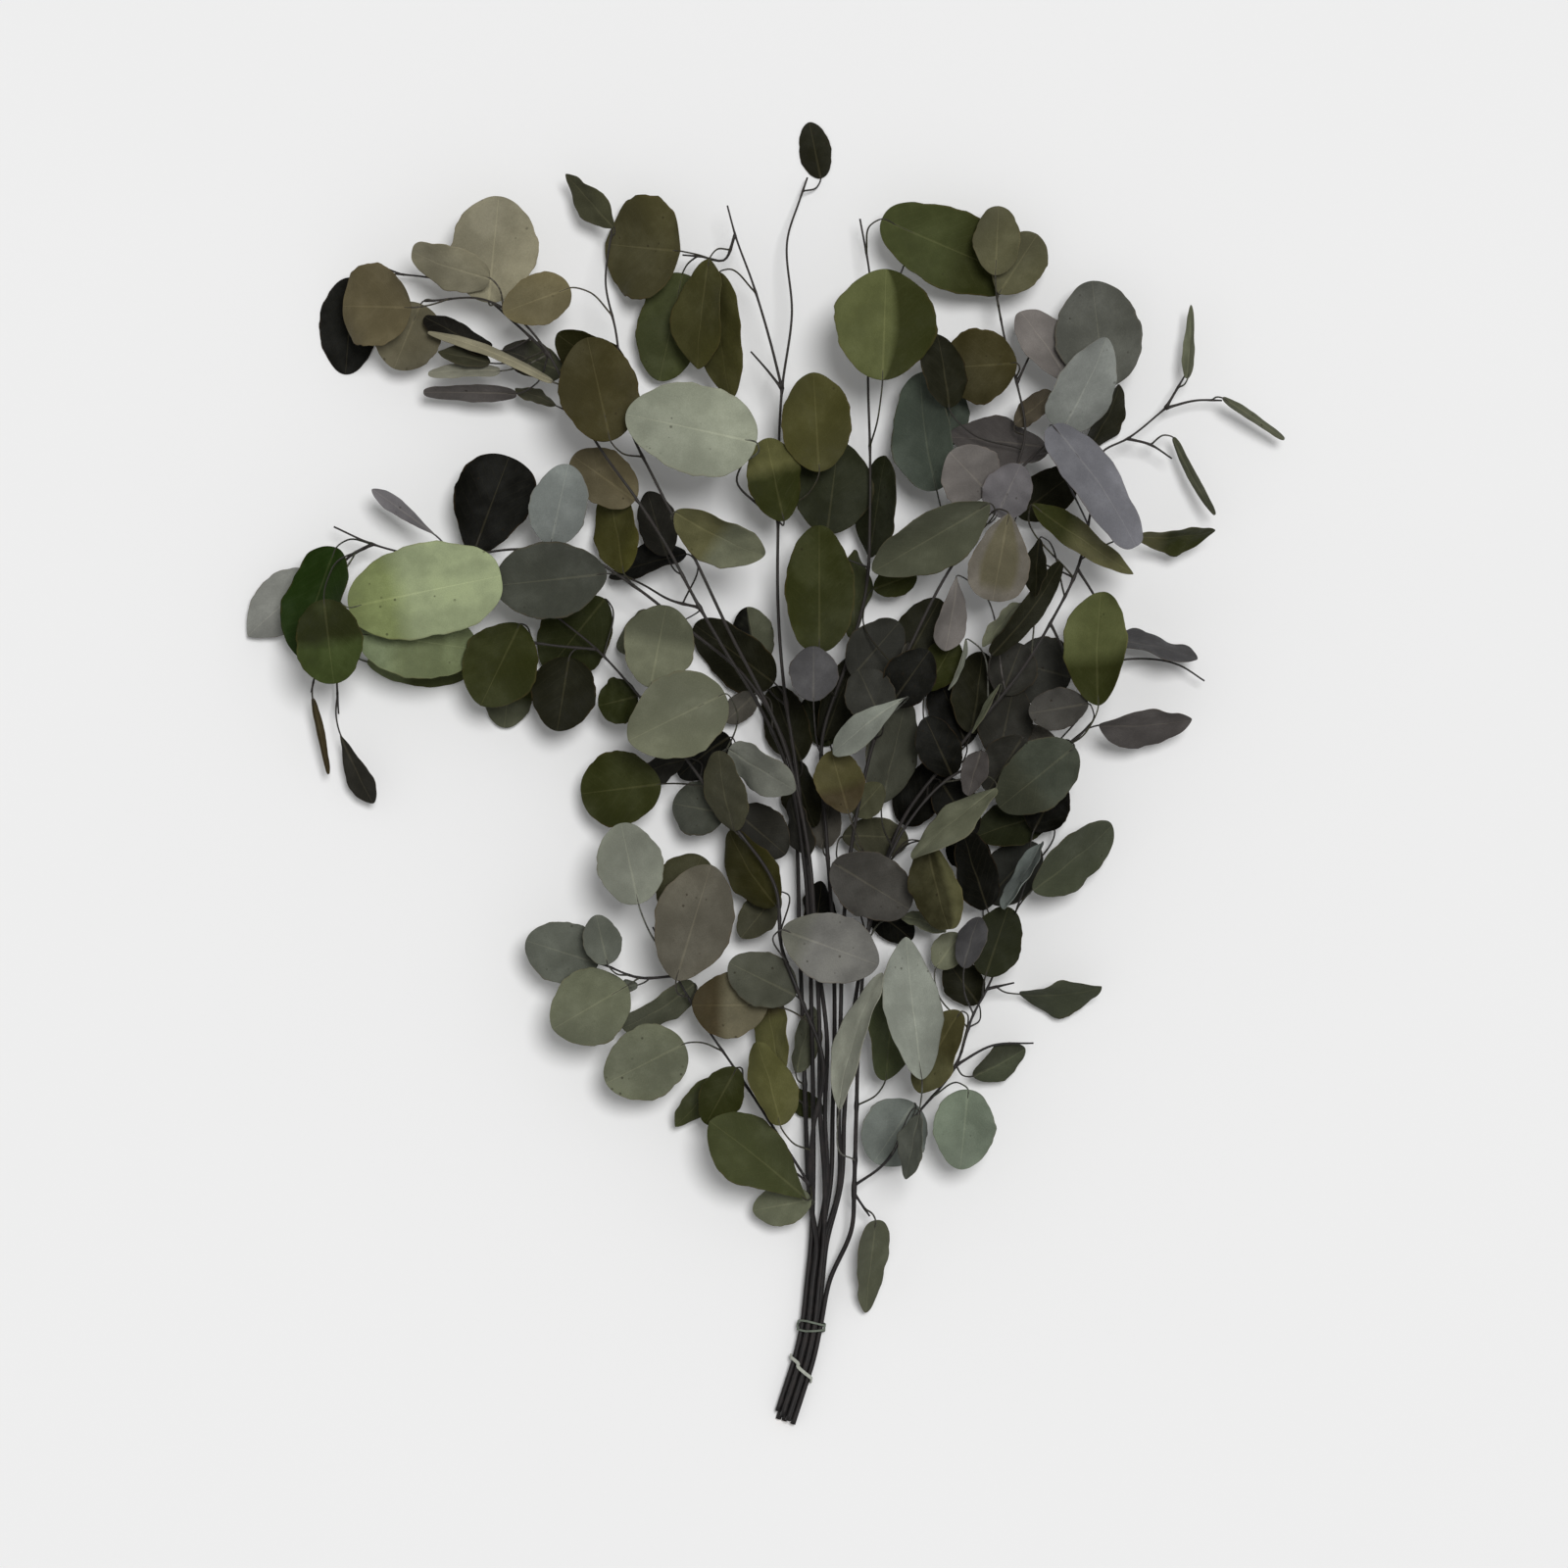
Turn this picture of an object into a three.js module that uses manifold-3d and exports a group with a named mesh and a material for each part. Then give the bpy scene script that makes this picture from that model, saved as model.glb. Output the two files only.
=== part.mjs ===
import * as THREE from 'three';
import { mergeVertices } from 'three/addons/utils/BufferGeometryUtils.js';
import Module from 'manifold-3d';

// A tied bunch of nine leafy eucalyptus branches that lies on a surface, in millimetres.
// Plan points run x to the right and y along the bunch, from the cut ends. Heights are over the surface.

// The plan point that stands over the origin
const PLAN_MIDDLE = [-10, 336];

// Wood
const STEM_RADIUS = 1.4;
const STEM_TIP_RADIUS = 0.5;
const TWIG_RADIUS = 0.75;
const TWIG_TIP_RADIUS = 0.45;
const STALK_RADIUS = 0.6;
const STALK_LEAD = 0.7;
const STALK_BEND = 0.35;
const STEM_SIDES = 5;
const TWIG_SIDES = 4;

// Leaf blades
const BLADE_THICKNESS = 0.8;
const BLADE_ROWS = [0.1, 0.35, 0.65, 0.9];
const SMALL_BLADE_ROWS = [0.14, 0.5, 0.86];
const SMALL_LEAF = 60;
const SLENDER = 0.5;
const WIDTH_TO_LENGTH = 0.72;
const WIDEST_UNSEEN = 38;
const UNSEEN_TO_SEEN = 2.6;
const LENGTH_TO_WIDTH = 0.92;

// Leaf outlines that differ from the common round one: how full the blade is towards its ends, how
// its widest place is moved, under 1 towards the base and over 1 towards the tip, and how many times
// wider than it is seen the blade may be
const FORMS = {
  spoon: { fullness: 0.62, widest: 1.7, unseen: 1.15 },
  fan: { fullness: 0.45, widest: 1.6, unseen: 1.2 },
  blunt: { fullness: 0.36, widest: 1.1, unseen: 1.1 },
  pointed: { fullness: 0.78, widest: 0.85, unseen: 1.4 },
  drop: { fullness: 0.56, widest: 0.66, unseen: 1.5 },
  strap: { fullness: 0.34, widest: 0.9, unseen: 1.3 },
};

// Clearance between branches, and what is tried on a leaf until it is clear: raising or lowering it,
// turning its roll and its slope round, and growing it smaller
const CLEARANCE = 0.3;
const LIFT_STEP = 2.5;
const LIFT_TRIES = 31;
const FLIPS = [[1, 1], [-1, 1], [1, -1], [-1, -1]];
const GROWTHS = [1, 0.86, 0.72];
const LOWEST_LEAF = 0.3;
const HIGHEST_LEAF = 104;
const SLIVER = 0.02;
const FLAT_LEAVES_FIRST = 1000;

// The tied bundle: its centre line in plan, and how high the lowest row of stems runs there
const BUNDLE_LINE = [[0, 2], [5.5, 19], [10.5, 35], [14, 51], [16.5, 73], [18.5, 92]];
const BUNDLE_HEIGHTS = [1.3, 2.3, 3.1, 3.4, 4.2, 5.4];
const STEM_PITCH = 3.15;
const ROW_PITCH = 2.8;

// Ties of pale elastic
const ELASTIC_WIDTH = 1.8;
const ELASTIC_THICKNESS = 0.9;
const TIE_STEPS = 16;
const TIE_CLEARANCE = 0.45;
const UPPER_TIE = { at: 3, slants: [2.6, -2.6], crossing: 0.35 };
const LOWER_TIE = { at: 1.64, slants: [5], crossing: 1.45 };

// Place of each stem in the bundle: sideways in stem pitches, upwards in rows
const SLOTS = {
  lowerLeft: [-0.5, 2],
  left: [-1, 0],
  upperLeft: [-1.5, 1],
  upperLeftInner: [0.5, 2],
  top: [-0.5, 1],
  topRightInner: [0, 0],
  upperRight: [0.5, 1],
  right: [1, 0],
  lowerRight: [1.5, 1],
};

// Each branch: its stem and twigs as points [x, y, height], and its leaves as
// [base x, base y, tip x, tip y, width as seen from above, height of the blade's middle, form].
// A leaf with height 0 lies flat on the surface.
const BRANCHES = [
  {
    name: 'branch_lower_left',
    colour: 0x6d6c57,
    slot: SLOTS.lowerLeft,
    cut: 0.16,
    stem: [
      [13.5, 118, 20], [14.5, 150, 34], [20, 188, 43], [8, 222, 46], [-1, 246, 46], [-4, 276, 45],
      [-28, 312, 41], [-50, 343, 36], [-75, 376, 31], [-96, 399, 26], [-118, 417, 22],
    ],
    twigs: [
      [[13.5, 124, 24], [-8, 158, 26], [-27, 187, 30], [-40, 206, 34], [-55, 232, 38], [-67, 257, 41]],
      [[-55, 232, 38], [-74, 231, 35], [-93, 238, 31]],
      [[13.5, 124, 24], [7, 130, 25], [-1, 134, 26]],
      [[-96, 399, 26], [-118, 401, 27], [-137, 404, 26]],
    ],
    leaves: [
      [-30, 376, -79, 352, 46, 62],
      [-68, 379, -60, 421, 39, 50],
      [-75, 375, -95, 370, 26, 26],
      [-63, 330, -104, 325, 42, 26],
      [-30, 315, -57, 320, 31, 24],
      [-4, 268, -28, 306, 26, 30],
      [-50, 343, -78, 335, 14, 18],
      [-28, 348, 6, 327, 22, 56],
      [-25, 306, -33, 347, 22, 30],
      [-25, 316, 1, 294, 30, 34],
      [-1, 256, 48, 238, 38, 62],
      [6, 222, -28, 239, 30, 46],
      [-135, 412, -155, 370, 42, 30],
      [-140, 395, -144, 359, 28, 8],
      [-110, 395, -116, 357, 36, 32],
      [-92, 425, -122, 388, 40, 16],
      [-74, 269, -83, 310, 36, 54],
      [-55, 230, -37, 289, 43, 62],
      [-58, 262, -42, 293, 34, 34],
      [-8, 217, -47, 217, 36, 38],
      [-95, 238, -132, 250, 34, 30],
      [-90, 238, -96, 263, 21, 42],
      [-80, 227, -118, 205, 42, 42],
      [-75, 227, -88, 224, 7, 26],
      [-46, 228, -83, 205, 16, 26, 'strap'],
      [-51, 197, -91, 177, 40, 32],
      [-32, 180, -56, 154, 17, 16, 'pointed'],
      [-24, 185, -40, 156, 24, 34],
      [12, 117, -38, 158, 37, 38, 'spoon'],
      [14, 117, -16, 111, 23, 20],
      [-2, 156, -14, 198, 23, 44],
      [-1, 182, -8, 224, 20, 26],
      [-28, 354, -54, 334, 22, 14],
      [-3, 274, -22, 251, 20, 18],
    ],
  },
  {
    name: 'branch_left',
    colour: 0x5a6450,
    slot: SLOTS.left,
    cut: 0,
    stem: [
      [12.5, 125, 8], [11, 165, 11], [9.5, 210, 13], [8, 250, 14], [7, 292, 15], [4, 340, 17],
      [-20, 385, 25], [-50, 410, 31], [-75, 430, 36], [-104, 447, 38], [-137, 450, 36],
      [-165, 447, 32], [-192, 448, 27], [-211, 453, 23], [-231, 462, 18],
    ],
    twigs: [
      [[-211, 453, 23], [-224, 446, 17], [-236, 425, 14], [-239, 396, 13], [-243, 377, 13]],
      [[-236, 425, 14], [-231, 395, 10], [-229, 366, 10]],
    ],
    leaves: [
      [-222, 420, -144, 436, 52, 52, 'blunt'],
      [-218, 407, -157, 399, 42, 34],
      [-215, 393, -163, 386, 20, 0],
      [-240, 438, -276, 406, 34, 8, 'pointed'],
      [-229, 451, -247, 394, 33, 30],
      [-234, 424, -229, 381, 37, 22],
      [-178, 457, -211, 481, 9, 30, 'spoon'],
      [-160, 446, -141, 498, 45, 22, 'fan'],
      [-119, 452, -110, 493, 32, 46],
      [-90, 437, -148, 431, 43, 54],
      [-242, 374, -234, 335, 4, 16, 'strap'],
      [-228, 356, -211, 320, 14, 14, 'spoon'],
      [2, 172, 20, 160, 14, 5],
      [6, 182, 15, 216, 15, 5],
    ],
  },
  {
    name: 'branch_upper_left',
    colour: 0x5e5438,
    slot: SLOTS.upperLeft,
    cut: 0.22,
    stem: [
      [15, 125, 12], [15, 165, 18], [14, 215, 25], [13, 255, 29], [10, 292, 31], [1, 340, 33],
      [-15, 374, 38], [-30, 398, 42], [-43, 420, 44], [-62, 455, 46], [-75, 475, 47],
      [-95, 503, 48], [-109, 528, 49], [-120, 549, 49], [-135, 567, 46], [-152, 577, 41], [-184, 577, 32],
    ],
    twigs: [
      [[-120, 549, 49], [-138, 566, 38], [-156, 581, 28], [-178, 589, 19], [-208, 593, 9]],
      [[-43, 420, 44], [-58, 424, 36], [-72, 432, 28], [-82, 437, 24]],
    ],
    leaves: [
      [-190, 573, -226, 575, 46, 34],
      [-186, 576, -200, 543, 38, 24],
      [-222, 591, -226, 541, 33, 0],
      [-151, 576, -146, 631, 48, 32],
      [-150, 588, -190, 602, 22, 42, 'strap'],
      [-150, 552, -184, 569, 13, 24, 'strap'],
      [-150, 545, -177, 551, 12, 34, 'pointed'],
      [-145, 541, -182, 540, 8, 28, 'strap'],
      [-118, 535, -182, 561, 6, 42, 'strap'],
      [-137, 530, -185, 531, 9, 18, 'strap'],
      [-113, 541, -144, 552, 20, 32],
      [-117, 524, -138, 533, 8, 20],
      [-76, 475, -108, 498, 30, 32],
      [-82, 438, -90, 481, 25, 24],
      [-60, 447, -70, 480, 22, 24],
      [-50, 448, -90, 436, 16, 14],
      [-52, 414, -86, 400, 22, 14],
      [-15, 376, -30, 362, 15, 12],
    ],
  },
  {
    name: 'branch_upper_left_inner',
    colour: 0x4f4830,
    slot: SLOTS.upperLeftInner,
    cut: 0.06,
    stem: [
      [21, 122, 17], [18.5, 160, 27], [18, 210, 34], [16, 250, 38], [13, 292, 41], [0, 350, 48],
      [-30, 412, 58], [-48, 450, 62], [-66, 485, 62], [-78, 510, 59], [-86, 562, 50],
      [-91, 585, 42], [-88, 614, 32],
    ],
    twigs: [],
    leaves: [
      [-88, 504, -100, 557, 43, 66],
      [-80, 540, -116, 560, 26, 34],
      [-87, 615, -112, 643, 15, 24, 'pointed'],
      [-109, 583, -143, 570, 28, 52],
      [-55, 468, -10, 446, 26, 70],
    ],
  },
  {
    name: 'branch_top',
    colour: 0x737a5e,
    slot: SLOTS.top,
    cut: 0.1,
    stem: [
      [22, 125, 13], [21, 160, 17], [22, 200, 20], [18, 235, 22], [12, 288, 23], [6, 340, 25],
      [0, 380, 28], [-3, 420, 33], [-3, 465, 37], [-1, 532, 36], [4, 570, 30], [2, 611, 20],
      [8, 630, 12], [12, 642, 6],
    ],
    twigs: [
      [[-3, 465, 37], [-14, 473, 48], [-24, 484, 58], [-17, 500, 66]],
      [[-1, 532, 36], [-7, 556, 38], [-16, 586, 37], [-25, 611, 33], [-29, 626, 31]],
      [[-25, 611, 33], [-31, 598, 30], [-42, 600, 28], [-52, 601, 26]],
      [[-1, 532, 36], [-9, 542, 37], [-17, 551, 38]],
    ],
    leaves: [
      [-14, 503, -80, 517, 50, 80],
      [-53, 602, -92, 608, 59, 24],
      [-52, 592, -64, 537, 38, 18],
      [-38, 598, -44, 542, 28, 36],
      [-33, 591, -27, 527, 25, 44],
      [0, 464, -9, 506, 30, 52],
      [18, 489, 15, 540, 39, 48],
      [19, 642, 13, 671, 18, 0],
      [-13, 390, -19, 421, 24, 14],
      [-5, 382, -46, 412, 30, 14],
      [9, 342, -6, 380, 26, 12],
      [13, 293, 3, 323, 14, 10],
      [6, 342, 16, 308, 20, 10],
    ],
  },
  {
    name: 'branch_top_right_inner',
    colour: 0x5d6140,
    slot: SLOTS.topRightInner,
    cut: 0,
    stem: [
      [24, 125, 8], [25, 160, 10], [26, 210, 13], [25, 255, 15], [22, 300, 18], [20, 355, 22],
      [33, 395, 28], [42, 430, 33], [44, 470, 35], [44, 500, 34], [43, 535, 31], [44, 590, 24],
      [39, 620, 18],
    ],
    twigs: [[[43, 545, 30], [52, 572, 28], [62, 597, 26]]],
    leaves: [
      [50, 535, 52, 592, 56, 62],
      [50, 619, 120, 590, 44, 26, 'blunt'],
      [44, 446, 52, 498, 24, 26],
      [22, 458, 28, 506, 44, 28],
      [18, 397, 18, 462, 38, 50],
      [15, 372, 15, 400, 27, 62],
      [20, 297, 24, 323, 16, 10],
      [24, 350, 11, 374, 20, 12],
      [13, 248, 19, 280, 18, 8],
      [36, 404, 36, 450, 18, 40],
      [20, 352, 36, 398, 24, 14],
    ],
  },
  {
    name: 'branch_upper_right',
    colour: 0x645f58,
    slot: SLOTS.upperRight,
    cut: 0.28,
    stem: [
      [28, 122, 14], [28, 160, 24], [29, 210, 30], [30, 250, 34], [34, 295, 38], [50, 365, 46],
      [68, 408, 50], [83, 437, 52], [95, 455, 52], [107, 473, 51], [115, 485, 48], [123, 508, 42],
      [119, 535, 36], [113, 558, 30], [109, 580, 24],
    ],
    twigs: [
      [[115, 485, 48], [128, 498, 45], [142, 510, 40], [155, 520, 34], [165, 530, 30]],
      [[119, 535, 36], [127, 552, 30]],
    ],
    leaves: [
      [104, 478, 84, 498, 36, 68],
      [108, 466, 120, 492, 27, 66],
      [104, 472, 45, 438, 32, 72],
      [114, 467, 106, 423, 34, 66, 'fan'],
      [142, 511, 164, 557, 33, 52, 'drop'],
      [164, 532, 158, 588, 48, 30],
      [119, 545, 82, 543, 42, 34],
      [84, 522, 78, 560, 24, 14],
      [78, 480, 70, 541, 33, 32],
      [82, 503, 88, 532, 22, 18],
      [135, 502, 84, 507, 26, 44],
      [145, 536, 121, 572, 27, 34],
      [156, 502, 172, 535, 16, 14],
      [118, 514, 137, 530, 14, 40],
      [108, 590, 110, 626, 26, 32],
      [110, 581, 130, 612, 30, 20],
      [62, 374, 25, 345, 17, 66, 'spoon'],
      [35, 385, 59, 413, 30, 20],
      [50, 362, 38, 388, 28, 20],
      [62, 392, 80, 425, 28, 26],
      [54, 370, 74, 398, 28, 22],
      [63, 402, 56, 387, 3, 40],
      [46, 430, 68, 438, 18, 18],
    ],
  },
  {
    name: 'branch_right',
    colour: 0x5a5654,
    slot: SLOTS.right,
    cut: 0.06,
    stem: [
      [29.5, 125, 8], [31, 160, 12], [36, 215, 17], [45, 262, 21], [60, 310, 26], [92, 352, 32],
      [124, 392, 36], [136, 412, 37], [150, 440, 36], [158, 475, 32], [163, 500, 28],
      [176, 507, 24], [196, 523, 17],
    ],
    twigs: [
      [[196, 523, 17], [206, 540, 15]],
      [[196, 523, 17], [212, 527, 15], [225, 527, 14]],
      [[176, 507, 24], [188, 504, 21], [199, 497, 19]],
      [[150, 440, 36], [160, 424, 32], [166, 410, 28]],
      [[136, 412, 37], [152, 388, 26], [176, 394, 20], [203, 391, 16], [216, 383, 13]],
    ],
    leaves: [
      [136, 512, 178, 450, 27, 74, 'strap'],
      [207, 538, 209, 576, 6, 19, 'drop'],
      [225, 528, 257, 507, 5, 18, 'strap'],
      [200, 508, 221, 468, 5, 18, 'strap'],
      [180, 457, 221, 460, 12, 28],
      [126, 472, 178, 437, 17, 54, 'pointed'],
      [120, 468, 150, 490, 26, 20],
      [88, 436, 82, 398, 18, 44, 'spoon'],
      [106, 396, 141, 443, 13, 48, 'strap'],
      [120, 422, 101, 400, 9, 52],
      [130, 455, 128, 425, 12, 56],
      [166, 404, 212, 394, 13, 20],
      [73, 378, 88, 404, 22, 24],
      [94, 350, 80, 384, 28, 14],
      [60, 310, 84, 342, 26, 12],
      [112, 376, 122, 402, 28, 20],
      [93, 404, 84, 378, 3, 34],
      [110, 381, 96, 356, 3, 34],
      [96, 356, 102, 398, 28, 12],
    ],
  },
  {
    name: 'branch_lower_right',
    colour: 0x6c6f66,
    slot: SLOTS.lowerRight,
    cut: 0,
    leavesBundleAfter: 4,
    stem: [
      [23, 73, 9], [35, 103, 16], [36, 124, 20], [37, 160, 27], [39, 215, 33], [46, 270, 36],
      [62, 308, 37], [86, 334, 36], [116, 345, 33], [146, 350, 29], [158, 362, 26],
    ],
    twigs: [
      [
        [36, 124, 20], [50, 134, 23], [66, 158, 27], [88, 186, 29], [97, 212, 28],
        [104, 225, 26], [118, 262, 21], [130, 298, 16],
      ],
      [[88, 186, 29], [107, 196, 24], [128, 197, 18]],
      [[36, 120, 19], [44, 108, 14]],
      [[104, 225, 26], [118, 228, 20]],
    ],
    leaves: [
      [28, 165, 50, 234, 15, 66],
      [70, 180, 62, 252, 31, 60],
      [52, 178, 56, 236, 28, 30],
      [90, 214, 68, 173, 25, 46],
      [94, 174, 90, 133, 34, 40],
      [67, 166, 46, 136, 37, 16],
      [69, 162, 62, 129, 13, 36],
      [97, 180, 124, 194, 18, 14],
      [121, 222, 163, 226, 17, 16],
      [47, 106, 42, 58, 17, 12, 'drop'],
      [108, 328, 65, 292, 16, 66],
      [73, 299, 84, 256, 26, 54, 'blunt'],
      [60, 262, 83, 254, 10, 22],
      [50, 320, 62, 372, 27, 30],
      [33, 315, 24, 347, 27, 48],
      [36, 314, 50, 330, 18, 26],
      [30, 303, 64, 301, 22, 12],
      [25, 290, 64, 266, 36, 44],
      [101, 347, 94, 324, 14, 46],
      [92, 236, 100, 262, 16, 38],
      [78, 236, 90, 253, 18, 22],
      [100, 217, 84, 239, 22, 12],
      [103, 232, 115, 267, 28, 12],
      [160, 370, 162, 428, 34, 50],
      [148, 385, 118, 393, 38, 0],
      [155, 371, 125, 366, 23, 48],
      [161, 360, 209, 363, 20, 30],
      [148, 349, 110, 318, 36, 46],
      [140, 352, 104, 342, 30, 16],
      [128, 306, 142, 332, 26, 20],
      [127, 276, 168, 309, 27, 34],
      [104, 270, 131, 299, 30, 0],
      [132, 300, 112, 266, 9, 42],
      [122, 354, 104, 326, 27, 22],
      [110, 344, 118, 380, 30, 14],
      [136, 314, 99, 303, 26, 12],
      [104, 266, 91, 306, 24, 9],
      [44, 268, 66, 250, 20, 10],
      [80, 332, 98, 304, 24, 16],
      [86, 334, 72, 364, 24, 8],
      [84, 300, 106, 290, 22, 8],
    ],
  },
];

const wasm = await Module();
wasm.setup();

function vector(point) {
  return new THREE.Vector3(...point);
}

// Draws between 0 and 1, the same ones for the same seed
function drawsFrom(seed) {
  let state = seed;
  return () => {
    state = (state * 1664525 + 1013904223) % 4294967296;
    return state / 4294967296;
  };
}

function solidOf(points, triangles) {
  const geometry = new THREE.BufferGeometry();
  geometry.setAttribute('position', new THREE.Float32BufferAttribute(points.flatMap((p) => p.toArray()), 3));
  geometry.setIndex(triangles.flat());
  const merged = mergeVertices(geometry, 1e-4);
  return new wasm.Manifold(new wasm.Mesh({
    numProp: 3,
    vertProperties: merged.attributes.position.array,
    triVerts: new Uint32Array(merged.index.array),
  }));
}

// A closed round bar along a line, from one radius to another
function taperedBar(line, startRadius, endRadius, sides) {
  const last = line.length - 1;
  const points = [];
  const triangles = [];
  let across = new THREE.Vector3(0, 0, 1);
  line.forEach((centre, i) => {
    const ahead = line[Math.min(i + 1, last)].clone().sub(line[Math.max(i - 1, 0)]).normalize();
    across = across.clone().addScaledVector(ahead, -across.dot(ahead)).normalize();
    const side = ahead.clone().cross(across);
    const radius = startRadius + (endRadius - startRadius) * i / last;
    for (let k = 0; k < sides; k++) {
      const angle = 2 * Math.PI * (k + 0.5) / sides;
      points.push(centre.clone()
        .addScaledVector(across, radius * Math.cos(angle))
        .addScaledVector(side, radius * Math.sin(angle)));
    }
  });
  for (let i = 0; i < last; i++) {
    for (let k = 0; k < sides; k++) {
      const a = i * sides + k;
      const b = i * sides + (k + 1) % sides;
      triangles.push([a, b, b + sides], [a, b + sides, a + sides]);
    }
  }
  for (let k = 1; k < sides - 1; k++) {
    triangles.push([0, k + 1, k]);
    triangles.push([last * sides, last * sides + k, last * sides + k + 1]);
  }
  return solidOf(points, triangles);
}

// A place in the tied bundle: sideways and up from its centre line, at a step along it
function inBundle(slot, step) {
  const before = Math.min(Math.floor(step), BUNDLE_LINE.length - 2);
  const share = step - before;
  const [x0, y0] = BUNDLE_LINE[before];
  const [x1, y1] = BUNDLE_LINE[before + 1];
  const length = Math.hypot(x1 - x0, y1 - y0);
  const aside = slot[0] * STEM_PITCH;
  const low = BUNDLE_HEIGHTS[before] * (1 - share) + BUNDLE_HEIGHTS[before + 1] * share;
  return [
    x0 + (x1 - x0) * share + aside * (y1 - y0) / length,
    y0 + (y1 - y0) * share - aside * (x1 - x0) / length,
    low + slot[1] * ROW_PITCH,
  ];
}

function stemRoute(branch) {
  const held = branch.leavesBundleAfter ?? BUNDLE_LINE.length;
  const tied = BUNDLE_LINE.slice(0, held).map((_, step) => inBundle(branch.slot, step || branch.cut));
  return [...tied, ...branch.stem];
}

function woodOf(branch) {
  const stem = stemRoute(branch).map(vector);
  const twigs = branch.twigs.map((twig) => twig.map(vector));
  const solids = [
    taperedBar(stem, STEM_RADIUS, STEM_TIP_RADIUS, STEM_SIDES),
    ...twigs.map((twig) => taperedBar(twig, TWIG_RADIUS, TWIG_TIP_RADIUS, TWIG_SIDES)),
  ];
  return { lines: [stem, ...twigs], solid: wasm.Manifold.union(solids) };
}

// The habit of one leaf: its real length and width, its slope and roll, and how it curls
function leafHabit(leaf, draw) {
  const [x0, y0, x1, y1, seenWidth, height, form] = leaf;
  const run = Math.hypot(x1 - x0, y1 - y0);
  const flat = height === 0;
  const slope = flat ? 0 : 0.08 + 0.2 * draw();
  const length = Math.max(run / Math.cos(slope), LENGTH_TO_WIDTH * seenWidth * (flat ? 0 : 1));
  const unseen = seenWidth * (FORMS[form]?.unseen ?? UNSEEN_TO_SEEN);
  const width = flat
    ? seenWidth
    : Math.max(seenWidth, Math.min(WIDTH_TO_LENGTH * run, WIDEST_UNSEEN, unseen));
  return {
    run,
    length,
    width,
    flat,
    fall: (draw() < 0.68 ? -1 : 1) * Math.acos(Math.min(1, run / length)),
    roll: (draw() < 0.5 ? -1 : 1) * Math.acos(Math.min(1, seenWidth / width)),
    bow: flat ? 0 : -0.02 + 0.09 * draw(),
    cup: flat ? 0 : -0.1 + 0.36 * draw(),
    wave: flat ? 0 : 0.05 + 0.13 * draw(),
    phase: 2 * Math.PI * draw(),
    fullness: (seenWidth / run < SLENDER ? 0.6 : 0.47) + 0.09 * draw(),
    widest: 0.84 + 0.26 * draw(),
    rows: seenWidth / run < SLENDER || run < SMALL_LEAF ? SMALL_BLADE_ROWS : BLADE_ROWS,
    ...FORMS[form],
  };
}

// The leaf's own axes and the way to a point of its blade: along from 0 to 1, across from -1 to 1
function bladeSurface(leaf, habit, { lift, growth, rollFlip, fallFlip }) {
  const [x0, y0, x1, y1, , height] = leaf;
  const fall = habit.fall * fallFlip;
  const roll = habit.roll * rollFlip;
  const length = habit.length * growth;
  const rise = length * Math.sin(fall);
  const middle = habit.flat ? BLADE_THICKNESS / 2 : height + lift;
  const base = new THREE.Vector3(x0, y0, middle - rise / 2);
  const ahead = new THREE.Vector3((x1 - x0) / habit.run, (y1 - y0) / habit.run, 0)
    .multiplyScalar(Math.cos(fall));
  ahead.z = Math.sin(fall);
  const level = new THREE.Vector3(0, 0, 1).cross(ahead).normalize();
  const over = ahead.clone().cross(level);
  const aside = level.clone().multiplyScalar(Math.cos(roll)).addScaledVector(over, Math.sin(roll));
  const normal = ahead.clone().cross(aside);
  const at = (along, across) => {
    const fullness = Math.sin(Math.PI * along ** habit.widest) ** habit.fullness;
    const half = growth * habit.width / 2 * fullness;
    const ripple = Math.sin(habit.phase + 8 * along + across);
    const bend = habit.bow * length * 4 * along * (1 - along);
    const curl = half * across ** 2 * (habit.cup + habit.wave * ripple);
    return base.clone()
      .addScaledVector(ahead, along * length)
      .addScaledVector(aside, half * across)
      .addScaledVector(normal, bend + curl);
  };
  return { at, ahead, aside, normal };
}

// A ring of three round the stalk: on top, at the right and at the left
function stalkRing(centre, up, left) {
  const spread = left.clone().multiplyScalar(STALK_RADIUS * Math.sin(Math.PI / 3));
  const under = centre.clone().addScaledVector(up, -STALK_RADIUS / 2);
  const top = centre.clone().addScaledVector(up, STALK_RADIUS);
  return [top, under.clone().sub(spread), under.clone().add(spread)];
}

// The rings along the stalk, turned with its line, from the wood to the base of the blade
function stalkRings(line, surface) {
  let up = surface.normal;
  let left = surface.aside;
  const rings = [stalkRing(line.at(-1), up, left)];
  for (let i = line.length - 2; i >= 0; i--) {
    const ahead = line[i + 1].clone().sub(line[Math.max(i - 1, 0)]).normalize();
    up = up.clone().addScaledVector(ahead, -up.dot(ahead)).normalize();
    left = up.clone().cross(ahead);
    rings.unshift(stalkRing(line[i], up, left));
  }
  return rings.flat();
}

// A row across the blade: left edge, midrib and right edge on top, then right, midrib and left below
function bladeRow(surface, along) {
  const half = surface.normal.clone().multiplyScalar(BLADE_THICKNESS / 2);
  const middle = (along === 1 ? [0] : [1, 0, -1]).map((across) => surface.at(along, across));
  return [...middle.map((p) => p.clone().add(half)), ...middle.reverse().map((p) => p.clone().sub(half))];
}

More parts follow.
